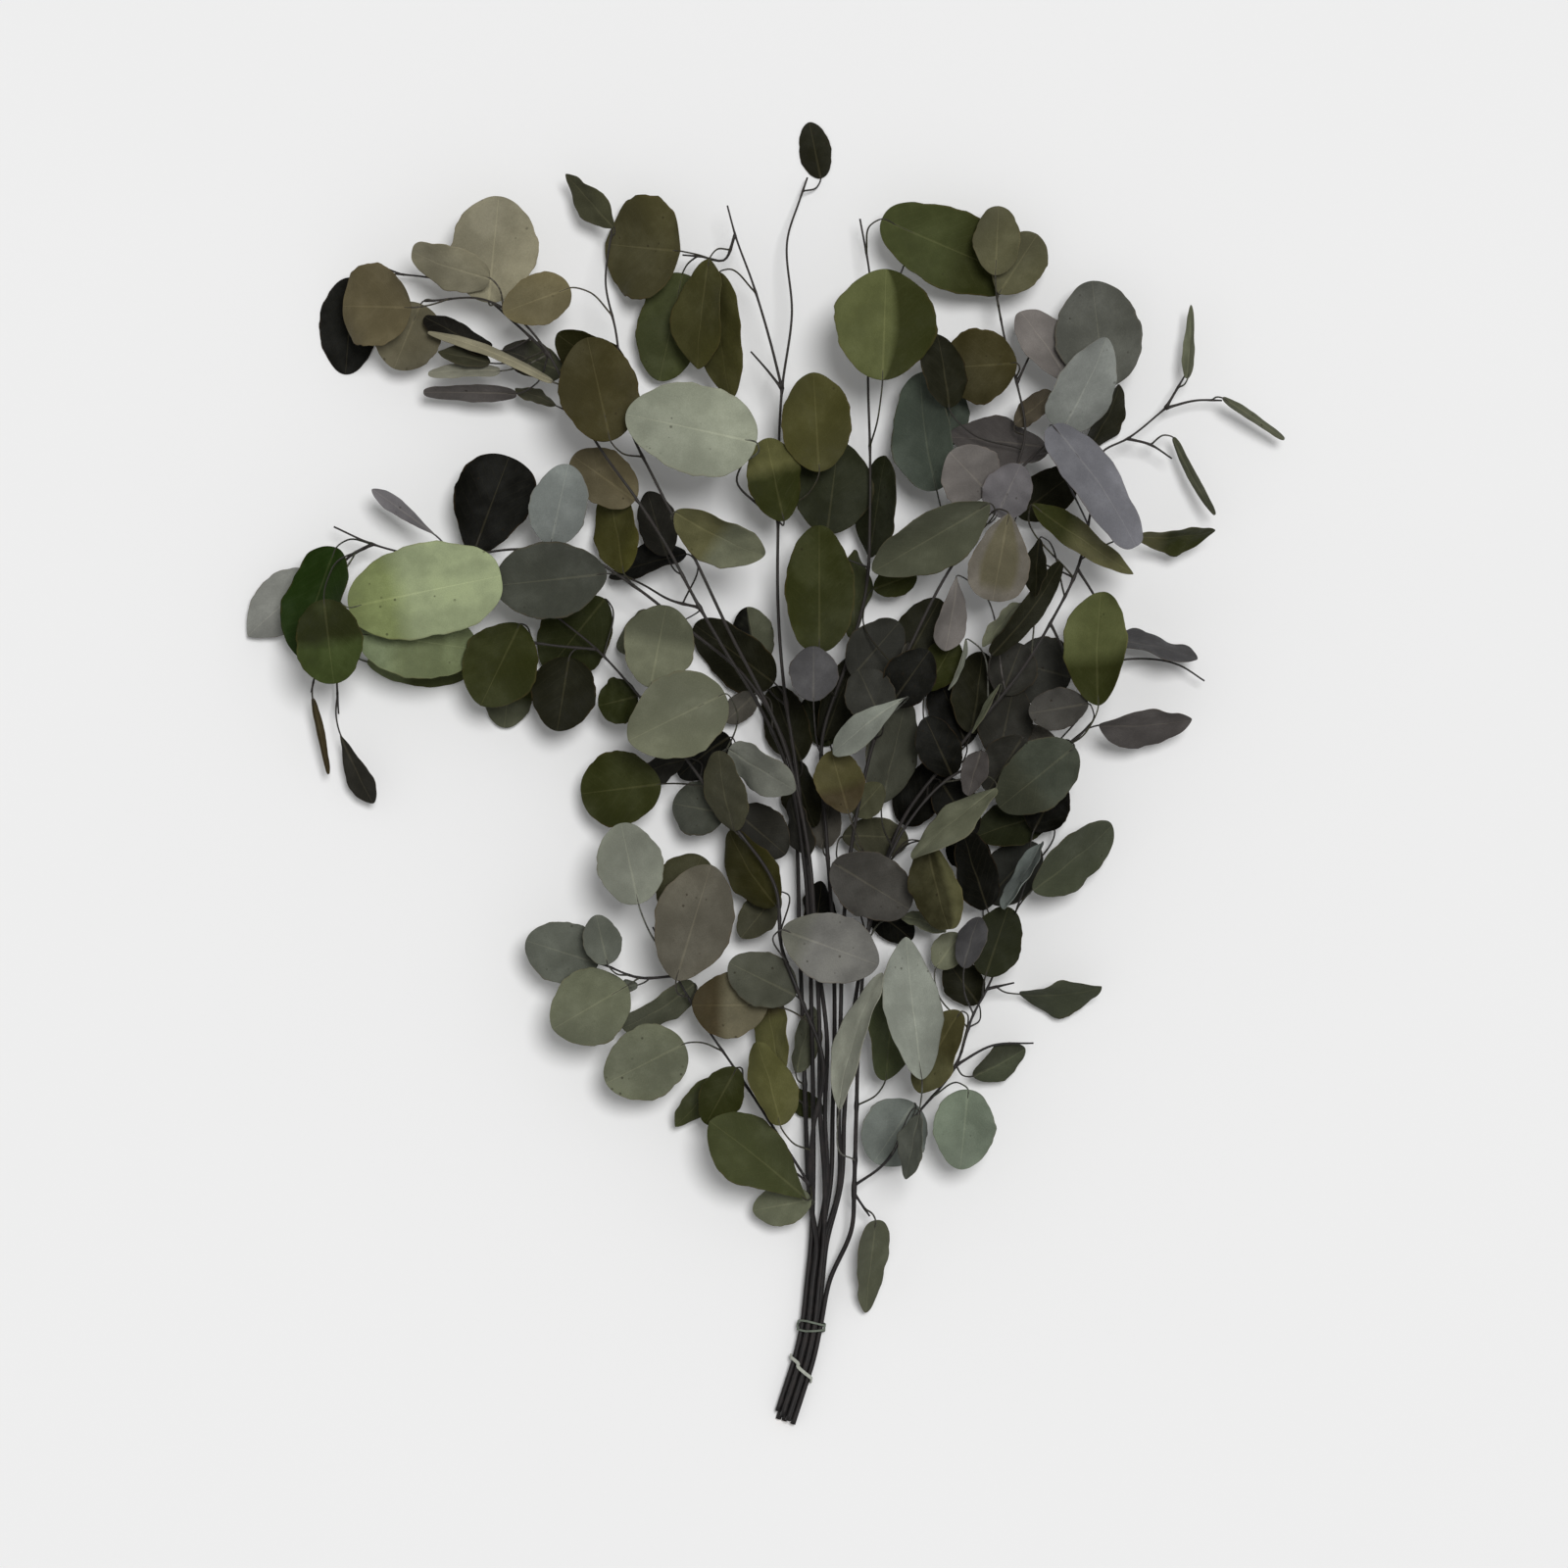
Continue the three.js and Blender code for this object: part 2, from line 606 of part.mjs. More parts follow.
// One closed leaf: its stalk along a line that ends at the base, and a thin blade with an edge all round
function leafSolid(surface, rows, line) {
  const points = [
    ...stalkRings(line, surface),
    ...rows.flatMap((along) => bladeRow(surface, along)),
    ...bladeRow(surface, 1),
  ];
  const triangles = [[0, 2, 1]];
  for (let ring = 0; ring < line.length - 1; ring++) {
    for (let k = 0; k < 3; k++) {
      const a = 3 * ring + k;
      const b = 3 * ring + (k + 1) % 3;
      triangles.push([a, b, b + 3], [a, b + 3, a + 3]);
    }
  }
  const top = 3 * (line.length - 1);
  const right = top + 1;
  const left = top + 2;
  const q = top + 3;
  triangles.push(
    [top, q + 1, q], [top, q, left], [top, q + 2, q + 1], [top, right, q + 2],
    [left, q, q + 5], [right, q + 3, q + 2], [left, q + 5, q + 4], [left, q + 4, right], [right, q + 4, q + 3],
  );
  for (let row = 0; row < rows.length - 1; row++) {
    const a = q + 6 * row;
    const b = a + 6;
    triangles.push(
      [a, a + 1, b + 1], [a, b + 1, b], [a + 1, a + 2, b + 1], [a + 2, b + 2, b + 1],
      [a + 5, b + 4, a + 4], [a + 5, b + 5, b + 4], [a + 4, b + 4, a + 3], [a + 3, b + 4, b + 3],
      [a, b, b + 5], [a, b + 5, a + 5], [a + 2, a + 3, b + 3], [a + 2, b + 3, b + 2],
    );
  }
  const a = q + 6 * (rows.length - 1);
  const tip = a + 6;
  const under = a + 7;
  triangles.push(
    [a, a + 1, tip], [a + 1, a + 2, tip], [a + 5, under, a + 4], [a + 4, under, a + 3],
    [a, tip, under], [a, under, a + 5], [a + 2, a + 3, under], [a + 2, under, tip],
  );
  return solidOf(points, triangles);
}

// The nearest place on the wood: its line, the point, and the end of the line's span before it
function nearestOn(lines, point) {
  let best = { line: lines[0], i: 1, at: lines[0][0] };
  lines.forEach((line) => {
    for (let i = 1; i < line.length; i++) {
      const at = new THREE.Line3(line[i - 1], line[i]).closestPointToPoint(point, true, new THREE.Vector3());
      if (at.distanceTo(point) < best.at.distanceTo(point)) {
        best = { line, i, at };
      }
    }
  });
  return best;
}

// A point further down the line of the wood, by a distance or as far as the line goes
function furtherDown({ line, i, at }, distance) {
  const span = at.distanceTo(line[i - 1]);
  if (distance <= span) {
    return at.clone().lerp(line[i - 1], distance / span);
  }
  return i > 1 ? furtherDown({ line, i: i - 1, at: line[i - 1] }, distance - span) : line[0];
}

// The line of a leaf stalk: it leaves the wood below the leaf and bends into the line of the blade
function stalkLine(wood, surface) {
  const base = surface.at(0, 0);
  const nearest = nearestOn(wood.lines, base);
  const start = furtherDown(nearest, STALK_LEAD * nearest.at.distanceTo(base));
  const bend = base.clone().addScaledVector(surface.ahead, -STALK_BEND * start.distanceTo(base));
  return [start, bend.lerp(start.clone().lerp(base, 0.5), 0.5), base];
}

function boxOf(solid) {
  const { min, max } = solid.boundingBox();
  return new THREE.Box3(new THREE.Vector3(...min), new THREE.Vector3(...max));
}

function isClear(solid, placed) {
  const box = boxOf(solid).expandByScalar(CLEARANCE);
  return placed.every((other) => !box.intersectsBox(other.box)
    || solid.minGap(other.solid, CLEARANCE) >= CLEARANCE);
}

// The ways a leaf may be set, the one nearest to its plain place first: lifts go 0, up, down, up further
function waysToSet(flat) {
  const ways = [];
  GROWTHS.forEach((growth) => {
    for (let i = 0; i < (flat ? 1 : LIFT_TRIES); i++) {
      const lift = LIFT_STEP * Math.ceil(i / 2) * (i % 2 ? 1 : -1);
      FLIPS.forEach(([rollFlip, fallFlip]) => ways.push({ lift, growth, rollFlip, fallFlip }));
    }
  });
  return ways;
}

// A leaf with its stalk, set in the first way that is clear of all that is already placed
function placeLeaf(leaf, branchName, wood, placed, seed) {
  const habit = leafHabit(leaf, drawsFrom(seed));
  const others = placed.filter((item) => item.wood !== branchName);
  for (const way of waysToSet(habit.flat)) {
    const surface = bladeSurface(leaf, habit, way);
    const blade = leafSolid(surface, habit.rows, [surface.at(0, 0)]);
    const { min, max } = blade.boundingBox();
    const within = habit.flat || (min[2] > LOWEST_LEAF && max[2] < HIGHEST_LEAF);
    if (!within || !isClear(blade, placed)) {
      continue;
    }
    const whole = leafSolid(surface, habit.rows, stalkLine(wood, surface));
    if (isClear(whole, others)) {
      return whole;
    }
  }
  return null;
}

// All the leaves of the bunch: the ones that lie flat are placed first, then the largest ones
function growLeaves(woods) {
  const placed = BRANCHES.map((branch, i) => (
    { wood: branch.name, solid: woods[i].solid, box: boxOf(woods[i].solid) }
  ));
  const grown = BRANCHES.map(() => []);
  const rank = ([x0, y0, x1, y1, width, height]) => (
    width * Math.hypot(x1 - x0, y1 - y0) * (height === 0 ? FLAT_LEAVES_FIRST : 1)
  );
  const waiting = BRANCHES.flatMap((branch, i) => (
    branch.leaves.map((leaf, k) => ({ leaf, i, seed: 1000 * (i + 1) + 7 * k }))
  ));
  waiting.sort((a, b) => rank(b.leaf) - rank(a.leaf));
  waiting.forEach(({ leaf, i, seed }) => {
    const found = placeLeaf(leaf, BRANCHES[i].name, woods[i], placed, seed);
    if (!found) {
      return;
    }
    grown[i].push(found);
    placed.push({ solid: found, box: boxOf(found) });
  });
  return grown;
}

// Where the elastic runs round the stems: each angle's outermost stem, and out past its bark
function tieLine(tie, slant) {
  const out = STEM_RADIUS + TIE_CLEARANCE + ELASTIC_THICKNESS / 2;
  const slots = Object.values(SLOTS);
  const line = [];
  for (let i = 0; i < TIE_STEPS; i++) {
    const angle = 2 * Math.PI * i / TIE_STEPS;
    const toward = ([aside, row]) => (
      aside * STEM_PITCH * Math.cos(angle) + row * ROW_PITCH * Math.sin(angle)
    );
    const outermost = slots.reduce((best, slot) => (toward(slot) > toward(best) ? slot : best));
    const place = [
      outermost[0] + out * Math.cos(angle) / STEM_PITCH,
      outermost[1] + out * Math.sin(angle) / ROW_PITCH,
    ];
    const along = slant * Math.sin(angle - tie.crossing);
    line.push({ place, along, angle });
  }
  return line;
}

// One flat closed turn of elastic
function elasticTurn(tie, slant) {
  const [x, y] = inBundle([0, 0], tie.at);
  const [x1, y1] = inBundle([0, 0], tie.at + 0.1);
  const ahead = new THREE.Vector3(x1 - x, y1 - y, 0).normalize();
  const right = new THREE.Vector3(ahead.y, -ahead.x, 0);
  const points = [];
  const triangles = [];
  tieLine(tie, slant).forEach(({ place, along, angle }) => {
    const centre = vector(inBundle(place, tie.at)).addScaledVector(ahead, along);
    const outward = right.clone().multiplyScalar(Math.cos(angle)).setZ(Math.sin(angle));
    [[-1, -1], [1, -1], [1, 1], [-1, 1]].forEach(([a, b]) => {
      points.push(centre.clone()
        .addScaledVector(ahead, a * ELASTIC_WIDTH / 2)
        .addScaledVector(outward, b * ELASTIC_THICKNESS / 2));
    });
  });
  for (let i = 0; i < TIE_STEPS; i++) {
    for (let k = 0; k < 4; k++) {
      const a = i * 4 + k;
      const b = i * 4 + (k + 1) % 4;
      const c = ((i + 1) % TIE_STEPS) * 4 + (k + 1) % 4;
      const d = ((i + 1) % TIE_STEPS) * 4 + k;
      triangles.push([a, c, b], [a, d, c]);
    }
  }
  return solidOf(points, triangles);
}

function tieSolid(tie) {
  return wasm.Manifold.union(tie.slants.map((slant) => elasticTurn(tie, slant)));
}

function meshOf(solid, name, colour, roughness) {
  const { vertProperties, triVerts } = solid.getMesh();
  const geometry = new THREE.BufferGeometry();
  geometry.setAttribute('position', new THREE.BufferAttribute(vertProperties, 3));
  geometry.setIndex(new THREE.BufferAttribute(triVerts, 1));
  const material = new THREE.MeshStandardMaterial({ color: colour, roughness, metalness: 0 });
  const mesh = new THREE.Mesh(geometry, material);
  mesh.name = name;
  return mesh;
}

const bunch = new THREE.Group();
bunch.position.set(-PLAN_MIDDLE[0], -PLAN_MIDDLE[1], 0);

const woods = BRANCHES.map(woodOf);
const foliage = growLeaves(woods);
BRANCHES.forEach((branch, i) => {
  const grown = wasm.Manifold.union([woods[i].solid, ...foliage[i]]).trimByPlane([0, 0, 1], 0).simplify(SLIVER);
  bunch.add(meshOf(grown, branch.name, branch.colour, 0.6));
});
bunch.add(meshOf(tieSolid(UPPER_TIE), 'tie_upper', 0xbdb8ac, 0.8));
bunch.add(meshOf(tieSolid(LOWER_TIE), 'tie_lower', 0xbdb8ac, 0.8));

export default bunch;
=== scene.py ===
import math

import bpy
import numpy as np
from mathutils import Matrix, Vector, kdtree


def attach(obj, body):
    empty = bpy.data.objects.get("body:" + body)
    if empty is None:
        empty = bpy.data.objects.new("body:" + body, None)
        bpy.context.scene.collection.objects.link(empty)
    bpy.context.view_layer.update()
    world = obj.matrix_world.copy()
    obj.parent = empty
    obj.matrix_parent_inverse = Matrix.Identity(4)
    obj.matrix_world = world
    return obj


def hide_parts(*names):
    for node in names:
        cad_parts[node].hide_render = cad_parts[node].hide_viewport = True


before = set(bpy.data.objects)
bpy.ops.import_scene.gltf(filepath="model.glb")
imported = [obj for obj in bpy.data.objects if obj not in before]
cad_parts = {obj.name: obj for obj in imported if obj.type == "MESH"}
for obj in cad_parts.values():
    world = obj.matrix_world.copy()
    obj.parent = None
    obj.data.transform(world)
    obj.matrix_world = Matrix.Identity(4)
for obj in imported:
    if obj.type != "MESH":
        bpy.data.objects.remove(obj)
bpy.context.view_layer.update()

# The tied bunch of eucalyptus branches, dressed: fine leaves, smooth stems and the elastic.
# Lengths are millimetres of the plan, as the solids use them, and become metres only in the meshes.

PLAN_MIDDLE = (-10, 336)

# Wood
STEM_RADII = (1.4, 0.5)
TWIG_RADII = (0.75, 0.45)
STALK_RADII = (0.5, 0.36)
STALK_LEAD = 0.7
STALK_BEND = 0.35
STALK_FOOT = 1.5
STALK_END_RADII = (0.3, 0.12)
STALK_IN_LEAF = (0.12, 0.3)
STALK_BELOW_LEAF = 0.7
STALK_BARK_SHARE = 0.6
STEM_SIDES = 10
STALK_SIDES = 6
WOOD_SPACING = 2.6
STALK_SPACING = 1.6
KNOT_SWELLING = 0.3
KNOT_REACH = 2.2

# The habit of the leaves, the same rule as the solids follow
BLADE_THICKNESS = 0.8
BLADE_ROWS = (0.1, 0.35, 0.65, 0.9)
SMALL_BLADE_ROWS = (0.14, 0.5, 0.86)
SMALL_LEAF = 60
SLENDER = 0.5
WIDTH_TO_LENGTH = 0.72
WIDEST_UNSEEN = 38
UNSEEN_TO_SEEN = 2.6
LENGTH_TO_WIDTH = 0.92
LIFT_STEP = 2.5
LIFT_TRIES = 31
FLIPS = ((1, 1), (-1, 1), (1, -1), (-1, -1))
GROWTHS = (1, 0.86, 0.72)
FORMS = {
    "spoon": {"fullness": 0.62, "widest": 1.7, "unseen": 1.15},
    "fan": {"fullness": 0.45, "widest": 1.6, "unseen": 1.2},
    "blunt": {"fullness": 0.36, "widest": 1.1, "unseen": 1.1},
    "pointed": {"fullness": 0.78, "widest": 0.85, "unseen": 1.4},
    "drop": {"fullness": 0.56, "widest": 0.66, "unseen": 1.5},
    "strap": {"fullness": 0.34, "widest": 0.9, "unseen": 1.3},
}
SAME_PLACE = 0.06
SEEN_SHARE = 0.6
FIRST_SEED = 1000
SEED_STEP = 7

# The fine blade
FINE_THICKNESS = 0.5
FINE_ALONG = 42
FINE_ACROSS = (-1, -0.955, -0.86, -0.7, -0.5, -0.3, -0.14, -0.05,
               0, 0.05, 0.14, 0.3, 0.5, 0.7, 0.86, 0.955, 1)

EDGE_THINNING = 0.45
MIDRIB_GROOVE = 0.16
MIDRIB_BREADTH = 0.9
UNDERSIDE_LOWEST = 0.04

# The worn edge: waves along it, each as (depth as a share of the width, beat, shift between the sides)
EDGE_WAVES = ((0.03, 7, 2), (0.018, 15, 1), (0.012, 31, -1), (0.008, 55, 1))

# No point of the bunch lies lower than this above the surface
LOWEST = 0.03

# The tied bundle and its ties
BUNDLE_LINE = ((0, 2), (5.5, 19), (10.5, 35), (14, 51), (16.5, 73), (18.5, 92))
BUNDLE_HEIGHTS = (1.3, 2.3, 3.1, 3.4, 4.2, 5.4)
STEM_PITCH = 3.15
ROW_PITCH = 2.8
ELASTIC_THICKNESS = 0.9
TIE_CLEARANCE = 0.45
TIE_CORNERS = 16
TIE_STEPS = 8
BAND_SIDES = 10
BAND_SQUARENESS = 0.6
KNIT_STEP = 0.9
TIES = {
    "tie_upper": {"band": 1.1, "at": 3, "slants": (2.6, -2.6), "crossing": 0.35,
                  "hollow": (104, 112, 100), "ridge": (138, 146, 132)},
    "tie_lower": {"band": 1.8, "at": 1.64, "slants": (5,), "crossing": 1.45,
                  "hollow": (168, 172, 160), "ridge": (208, 210, 200)},
}

# Tones of the wood, and those that veins, bloom, rim, flecks and underside lean to
BARK_OLD = (24, 21, 21)
BARK_YOUNG = (40, 36, 32)
BARK_PATCH = (52, 46, 44)
BARK_STREAK = (15, 12, 12)
STALK_BARK = (36, 31, 27)
CUT_DARK = (118, 84, 60)
CUT_PALE = (186, 150, 116)
VEIN_TINT = (170, 160, 122)
BLOOM_TINT = (190, 192, 186)
RIM_TINT = (118, 92, 56)
FLECK_TINT = (34, 27, 16)
UNDERSIDE_TINT = (142, 142, 124)

# Tones of the leaves, red green blue from 0 to 255
TONES = {
    "pale_green": (139, 148, 114),
    "green": (104, 112, 80),
    "green_light": (112, 122, 92),
    "green_deep": (27, 44, 7),
    "green_olive": (64, 69, 38),
    "moss_green": (56, 66, 31),
    "green_grey": (110, 120, 103),
    "olive_light": (112, 121, 78),
    "olive_green_deep": (64, 70, 44),
    "sage": (124, 127, 114),
    "sage_green": (100, 103, 83),
    "sage_olive": (106, 108, 88),
    "grey_sage": (118, 120, 110),
    "bloom_sage": (142, 146, 128),
    "bloom_green": (132, 136, 126),
    "bloom_light": (150, 152, 138),
    "cream_sage": (134, 133, 118),
    "blue_sage": (120, 125, 121),
    "blue_grey": (108, 115, 111),
    "grey_blue": (125, 128, 123),
    "pale_grey": (129, 130, 124),
    "grey_olive": (79, 81, 65),
    "grey_green": (89, 92, 83),
    "moss": (66, 70, 54),
    "teal_grey": (110, 116, 110),
    "moss_dark": (56, 58, 46),
    "moss_olive": (64, 68, 40),
    "warm_grey": (104, 103, 99),
    "warm_grey_dark": (93, 93, 84),
    "taupe": (92, 88, 76),
    "taupe_light": (104, 99, 90),
    "taupe_olive": (85, 83, 60),
    "taupe_brown": (79, 72, 59),
    "taupe_dark": (79, 76, 69),
    "khaki": (96, 91, 72),
    "khaki_light": (135, 130, 108),
    "khaki_warm": (107, 99, 71),
    "khaki_green": (86, 84, 56),
    "khaki_brown": (93, 85, 62),
    "khaki_dark": (67, 66, 50),
    "olive_khaki": (73, 69, 42),
    "olive_yellow": (85, 84, 49),
    "olive_yellow_deep": (68, 66, 28),
    "olive_dull": (46, 44, 17),
    "olive_warm": (68, 66, 33),
    "olive_grey": (73, 73, 53),
    "olive_bright": (84, 88, 53),
    "olive_deep": (44, 47, 17),
    "olive_dark": (54, 53, 34),
    "olive_black": (42, 40, 22),
    "brown_olive": (58, 50, 32),
    "brown_olive_deep": (36, 35, 11),
    "brown_round": (59, 54, 29),
    "dark_green": (38, 42, 16),
    "black_green": (34, 37, 20),
    "black_olive": (26, 26, 13),
    "black_plum": (18, 16, 12),
    "black_slate": (36, 37, 32),
    "black": (5, 5, 2),
    "charcoal": (40, 39, 34),
    "slate": (62, 64, 56),
    "slate_grey": (85, 86, 79),
    "slate_green": (56, 57, 44),
    "slate_teal": (70, 78, 68),
    "slate_moss": (60, 64, 54),
    "slate_olive": (72, 73, 62),
    "slate_warm": (48, 48, 43),
    "plum": (75, 71, 69),
    "plum_grey": (62, 60, 56),
    "mauve": (116, 111, 107),
    "lavender": (112, 112, 117),
    "lavender_grey": (106, 103, 105),
    "lavender_dark": (72, 71, 72),
}

# Each branch: its place in the bundle, how far up its cut end lies, how many points of its stem follow
# the bundle, the rest of the stem and the twigs as points (x, y, height), and the leaves as
# (base x, base y, tip x, tip y, width as seen, height, tone), some with a form. A tone may name a
# second one, the way it runs over the blade and where it begins.
BRANCHES = {}

BRANCHES["branch_lower_left"] = {
    "slot": (-0.5, 2), "cut": 0.16, "tied_points": 6,
    "stem": [
        (13.5, 118, 20), (14.5, 150, 34), (20, 188, 43), (8, 222, 46), (-1, 246, 46), (-4, 276, 45),
        (-28, 312, 41), (-50, 343, 36), (-75, 376, 31), (-96, 399, 26), (-118, 417, 22),
    ],
    "twigs": [
        [(13.5, 124, 24), (-8, 158, 26), (-27, 187, 30), (-40, 206, 34), (-55, 232, 38), (-67, 257, 41)],
        [(-55, 232, 38), (-74, 231, 35), (-93, 238, 31)],
        [(13.5, 124, 24), (7, 130, 25), (-1, 134, 26)],
        [(-96, 399, 26), (-118, 401, 27), (-137, 404, 26)],
    ],
    "leaves": [
        (-30, 376, -79, 352, 46, 62, "sage_olive"),
        (-68, 379, -60, 421, 39, 50, "sage_olive/grey_olive/along/0.55"),
        (-75, 375, -95, 370, 26, 26, "dark_green"),
        (-63, 330, -104, 325, 42, 26, "olive_deep"),
        (-30, 315, -57, 320, 31, 24, "slate"),
        (-4, 268, -28, 306, 26, 30, "olive_dull"),
        (-50, 343, -78, 335, 14, 18, "charcoal"),
        (-28, 348, 6, 327, 22, 56, "grey_sage"),
        (-25, 306, -33, 347, 22, 30, "khaki_dark"),
        (-25, 316, 1, 294, 30, 34, "charcoal"),
        (-1, 256, 48, 238, 38, 62, "warm_grey/warm_grey_dark/along_back/0.25"),
        (6, 222, -28, 239, 30, 46, "slate_olive"),
        (-135, 412, -155, 370, 42, 30, "olive_deep"),
        (-140, 395, -144, 359, 28, 8, "olive_deep/grey_olive/along/0.6"),
        (-110, 395, -116, 357, 36, 32, "black_olive"),
        (-92, 425, -122, 388, 40, 16, "dark_green"),
        (-74, 269, -83, 310, 36, 54, "sage"),
        (-55, 230, -37, 289, 43, 62, "taupe"),
        (-58, 262, -42, 293, 34, 34, "olive_dark"),
        # The khaki part of this dark brown leaf is partly its own lighter tone and partly a painted
        # highlight across the middle of the blade.
        (-8, 217, -47, 217, 36, 38, "khaki/brown_olive/along/0.62"),
        (-95, 238, -132, 250, 34, 30, "grey_green"),
        (-90, 238, -96, 263, 21, 42, "grey_green"),
        (-80, 227, -118, 205, 42, 42, "sage_green"),
        (-75, 227, -88, 224, 7, 26, "grey_green"),
        (-46, 228, -83, 205, 16, 26, "grey_olive", "strap"),
        (-51, 197, -91, 177, 40, 32, "sage_green"),
        (-32, 180, -56, 154, 17, 16, "moss_olive", "pointed"),
        (-24, 185, -40, 156, 24, 34, "olive_deep"),
        (12, 117, -38, 158, 37, 38, "moss_olive", "spoon"),
        (14, 117, -16, 111, 23, 20, "sage_green"),
        (-2, 156, -14, 198, 23, 44, "olive_yellow"),
        (-1, 182, -8, 224, 20, 26, "olive_yellow/brown_olive/along/0.7"),
        (-28, 354, -54, 334, 22, 14, "black"),
        (-3, 274, -22, 251, 20, 18, "khaki_dark"),
    ],
}

BRANCHES["branch_left"] = {
    "slot": (-1, 0), "cut": 0, "tied_points": 6,
    "stem": [
        (12.5, 125, 8), (11, 165, 11), (9.5, 210, 13), (8, 250, 14), (7, 292, 15), (4, 340, 17),
        (-20, 385, 25), (-50, 410, 31), (-75, 430, 36), (-104, 447, 38), (-137, 450, 36),
        (-165, 447, 32), (-192, 448, 27), (-211, 453, 23), (-231, 462, 18),
    ],
    "twigs": [
        [(-211, 453, 23), (-224, 446, 17), (-236, 425, 14), (-239, 396, 13), (-243, 377, 13)],
        [(-236, 425, 14), (-231, 395, 10), (-229, 366, 10)],
    ],
    "leaves": [
        (-222, 420, -144, 436, 52, 52, "pale_green/olive_light/along_back/0.34", "blunt"),
        (-218, 407, -157, 399, 42, 34, "green/green_light/along_back/0.3"),
        (-215, 393, -163, 386, 20, 0, "green/moss_olive/along/0.4"),
        (-240, 438, -276, 406, 34, 8, "pale_grey", "pointed"),
        (-229, 451, -247, 394, 33, 30, "green_deep"),
        (-234, 424, -229, 381, 37, 22, "dark_green/moss_green/along/0.5"),
        (-178, 457, -211, 481, 9, 30, "lavender_grey", "spoon"),
        (-160, 446, -141, 498, 45, 22, "black", "fan"),
        (-119, 452, -110, 493, 32, 46, "blue_sage"),
        (-90, 437, -148, 431, 43, 54, "slate"),
        (-242, 374, -234, 335, 4, 16, "brown_olive", "strap"),
        (-228, 356, -211, 320, 14, 14, "charcoal", "spoon"),
        (2, 172, 20, 160, 14, 5, "dark_green"),
        (6, 182, 15, 216, 15, 5, "grey_olive"),
    ],
}

BRANCHES["branch_upper_left"] = {
    "slot": (-1.5, 1), "cut": 0.22, "tied_points": 6,
    "stem": [
        (15, 125, 12), (15, 165, 18), (14, 215, 25), (13, 255, 29), (10, 292, 31), (1, 340, 33),
        (-15, 374, 38), (-30, 398, 42), (-43, 420, 44), (-62, 455, 46), (-75, 475, 47), (-95, 503, 48),
        (-109, 528, 49), (-120, 549, 49), (-135, 567, 46), (-152, 577, 41), (-184, 577, 32),
    ],
    "twigs": [
        [(-120, 549, 49), (-138, 566, 38), (-156, 581, 28), (-178, 589, 19), (-208, 593, 9)],
        [(-43, 420, 44), (-58, 424, 36), (-72, 432, 28), (-82, 437, 24)],
    ],
    "leaves": [
        (-190, 573, -226, 575, 46, 34, "khaki_brown"),
        (-186, 576, -200, 543, 38, 24, "khaki"),
        (-222, 591, -226, 541, 33, 0, "black"),
        (-151, 576, -146, 631, 48, 32, "khaki_light"),
        (-150, 588, -190, 602, 22, 42, "khaki_light", "strap"),
        (-150, 552, -184, 569, 13, 24, "black_plum", "strap"),
        (-150, 545, -177, 551, 12, 34, "khaki_dark", "pointed"),
        (-145, 541, -182, 540, 8, 28, "cream_sage", "strap"),
        # This thin strap leaf's pale tone is a painted highlight along the edge of a rolled leaf.
        (-118, 535, -182, 561, 6, 42, "khaki_light", "strap"),
        (-137, 530, -185, 531, 9, 18, "plum", "strap"),
        (-113, 541, -144, 552, 20, 32, "slate_green/charcoal/along/0.6"),
        (-117, 524, -138, 533, 8, 20, "khaki_dark"),
        (-76, 475, -108, 498, 30, 32, "khaki_brown"),
        (-82, 438, -90, 481, 25, 24, "olive_yellow_deep"),
        (-60, 447, -70, 480, 22, 24, "charcoal"),
        (-50, 448, -90, 436, 16, 14, "black"),
        (-52, 414, -86, 400, 22, 14, "grey_olive"),
        (-15, 376, -30, 362, 15, 12, "taupe_dark"),
    ],
}

BRANCHES["branch_upper_left_inner"] = {
    "slot": (0.5, 2), "cut": 0.06, "tied_points": 6,
    "stem": [
        (21, 122, 17), (18.5, 160, 27), (18, 210, 34), (16, 250, 38), (13, 292, 41), (0, 350, 48),
        (-30, 412, 58), (-48, 450, 62), (-66, 485, 62), (-78, 510, 59), (-86, 562, 50), (-91, 585, 42),
        (-88, 614, 32),
    ],
    "twigs": [
    ],
    "leaves": [
        (-88, 504, -100, 557, 43, 66, "brown_round"),
        (-80, 540, -116, 560, 26, 34, "brown_olive_deep"),
        (-87, 615, -112, 643, 15, 24, "olive_grey", "pointed"),
        (-109, 583, -143, 570, 28, 52, "khaki_warm"),
        (-55, 468, -10, 446, 26, 70, "sage_olive/khaki_green/along_back/0.5"),
    ],
}

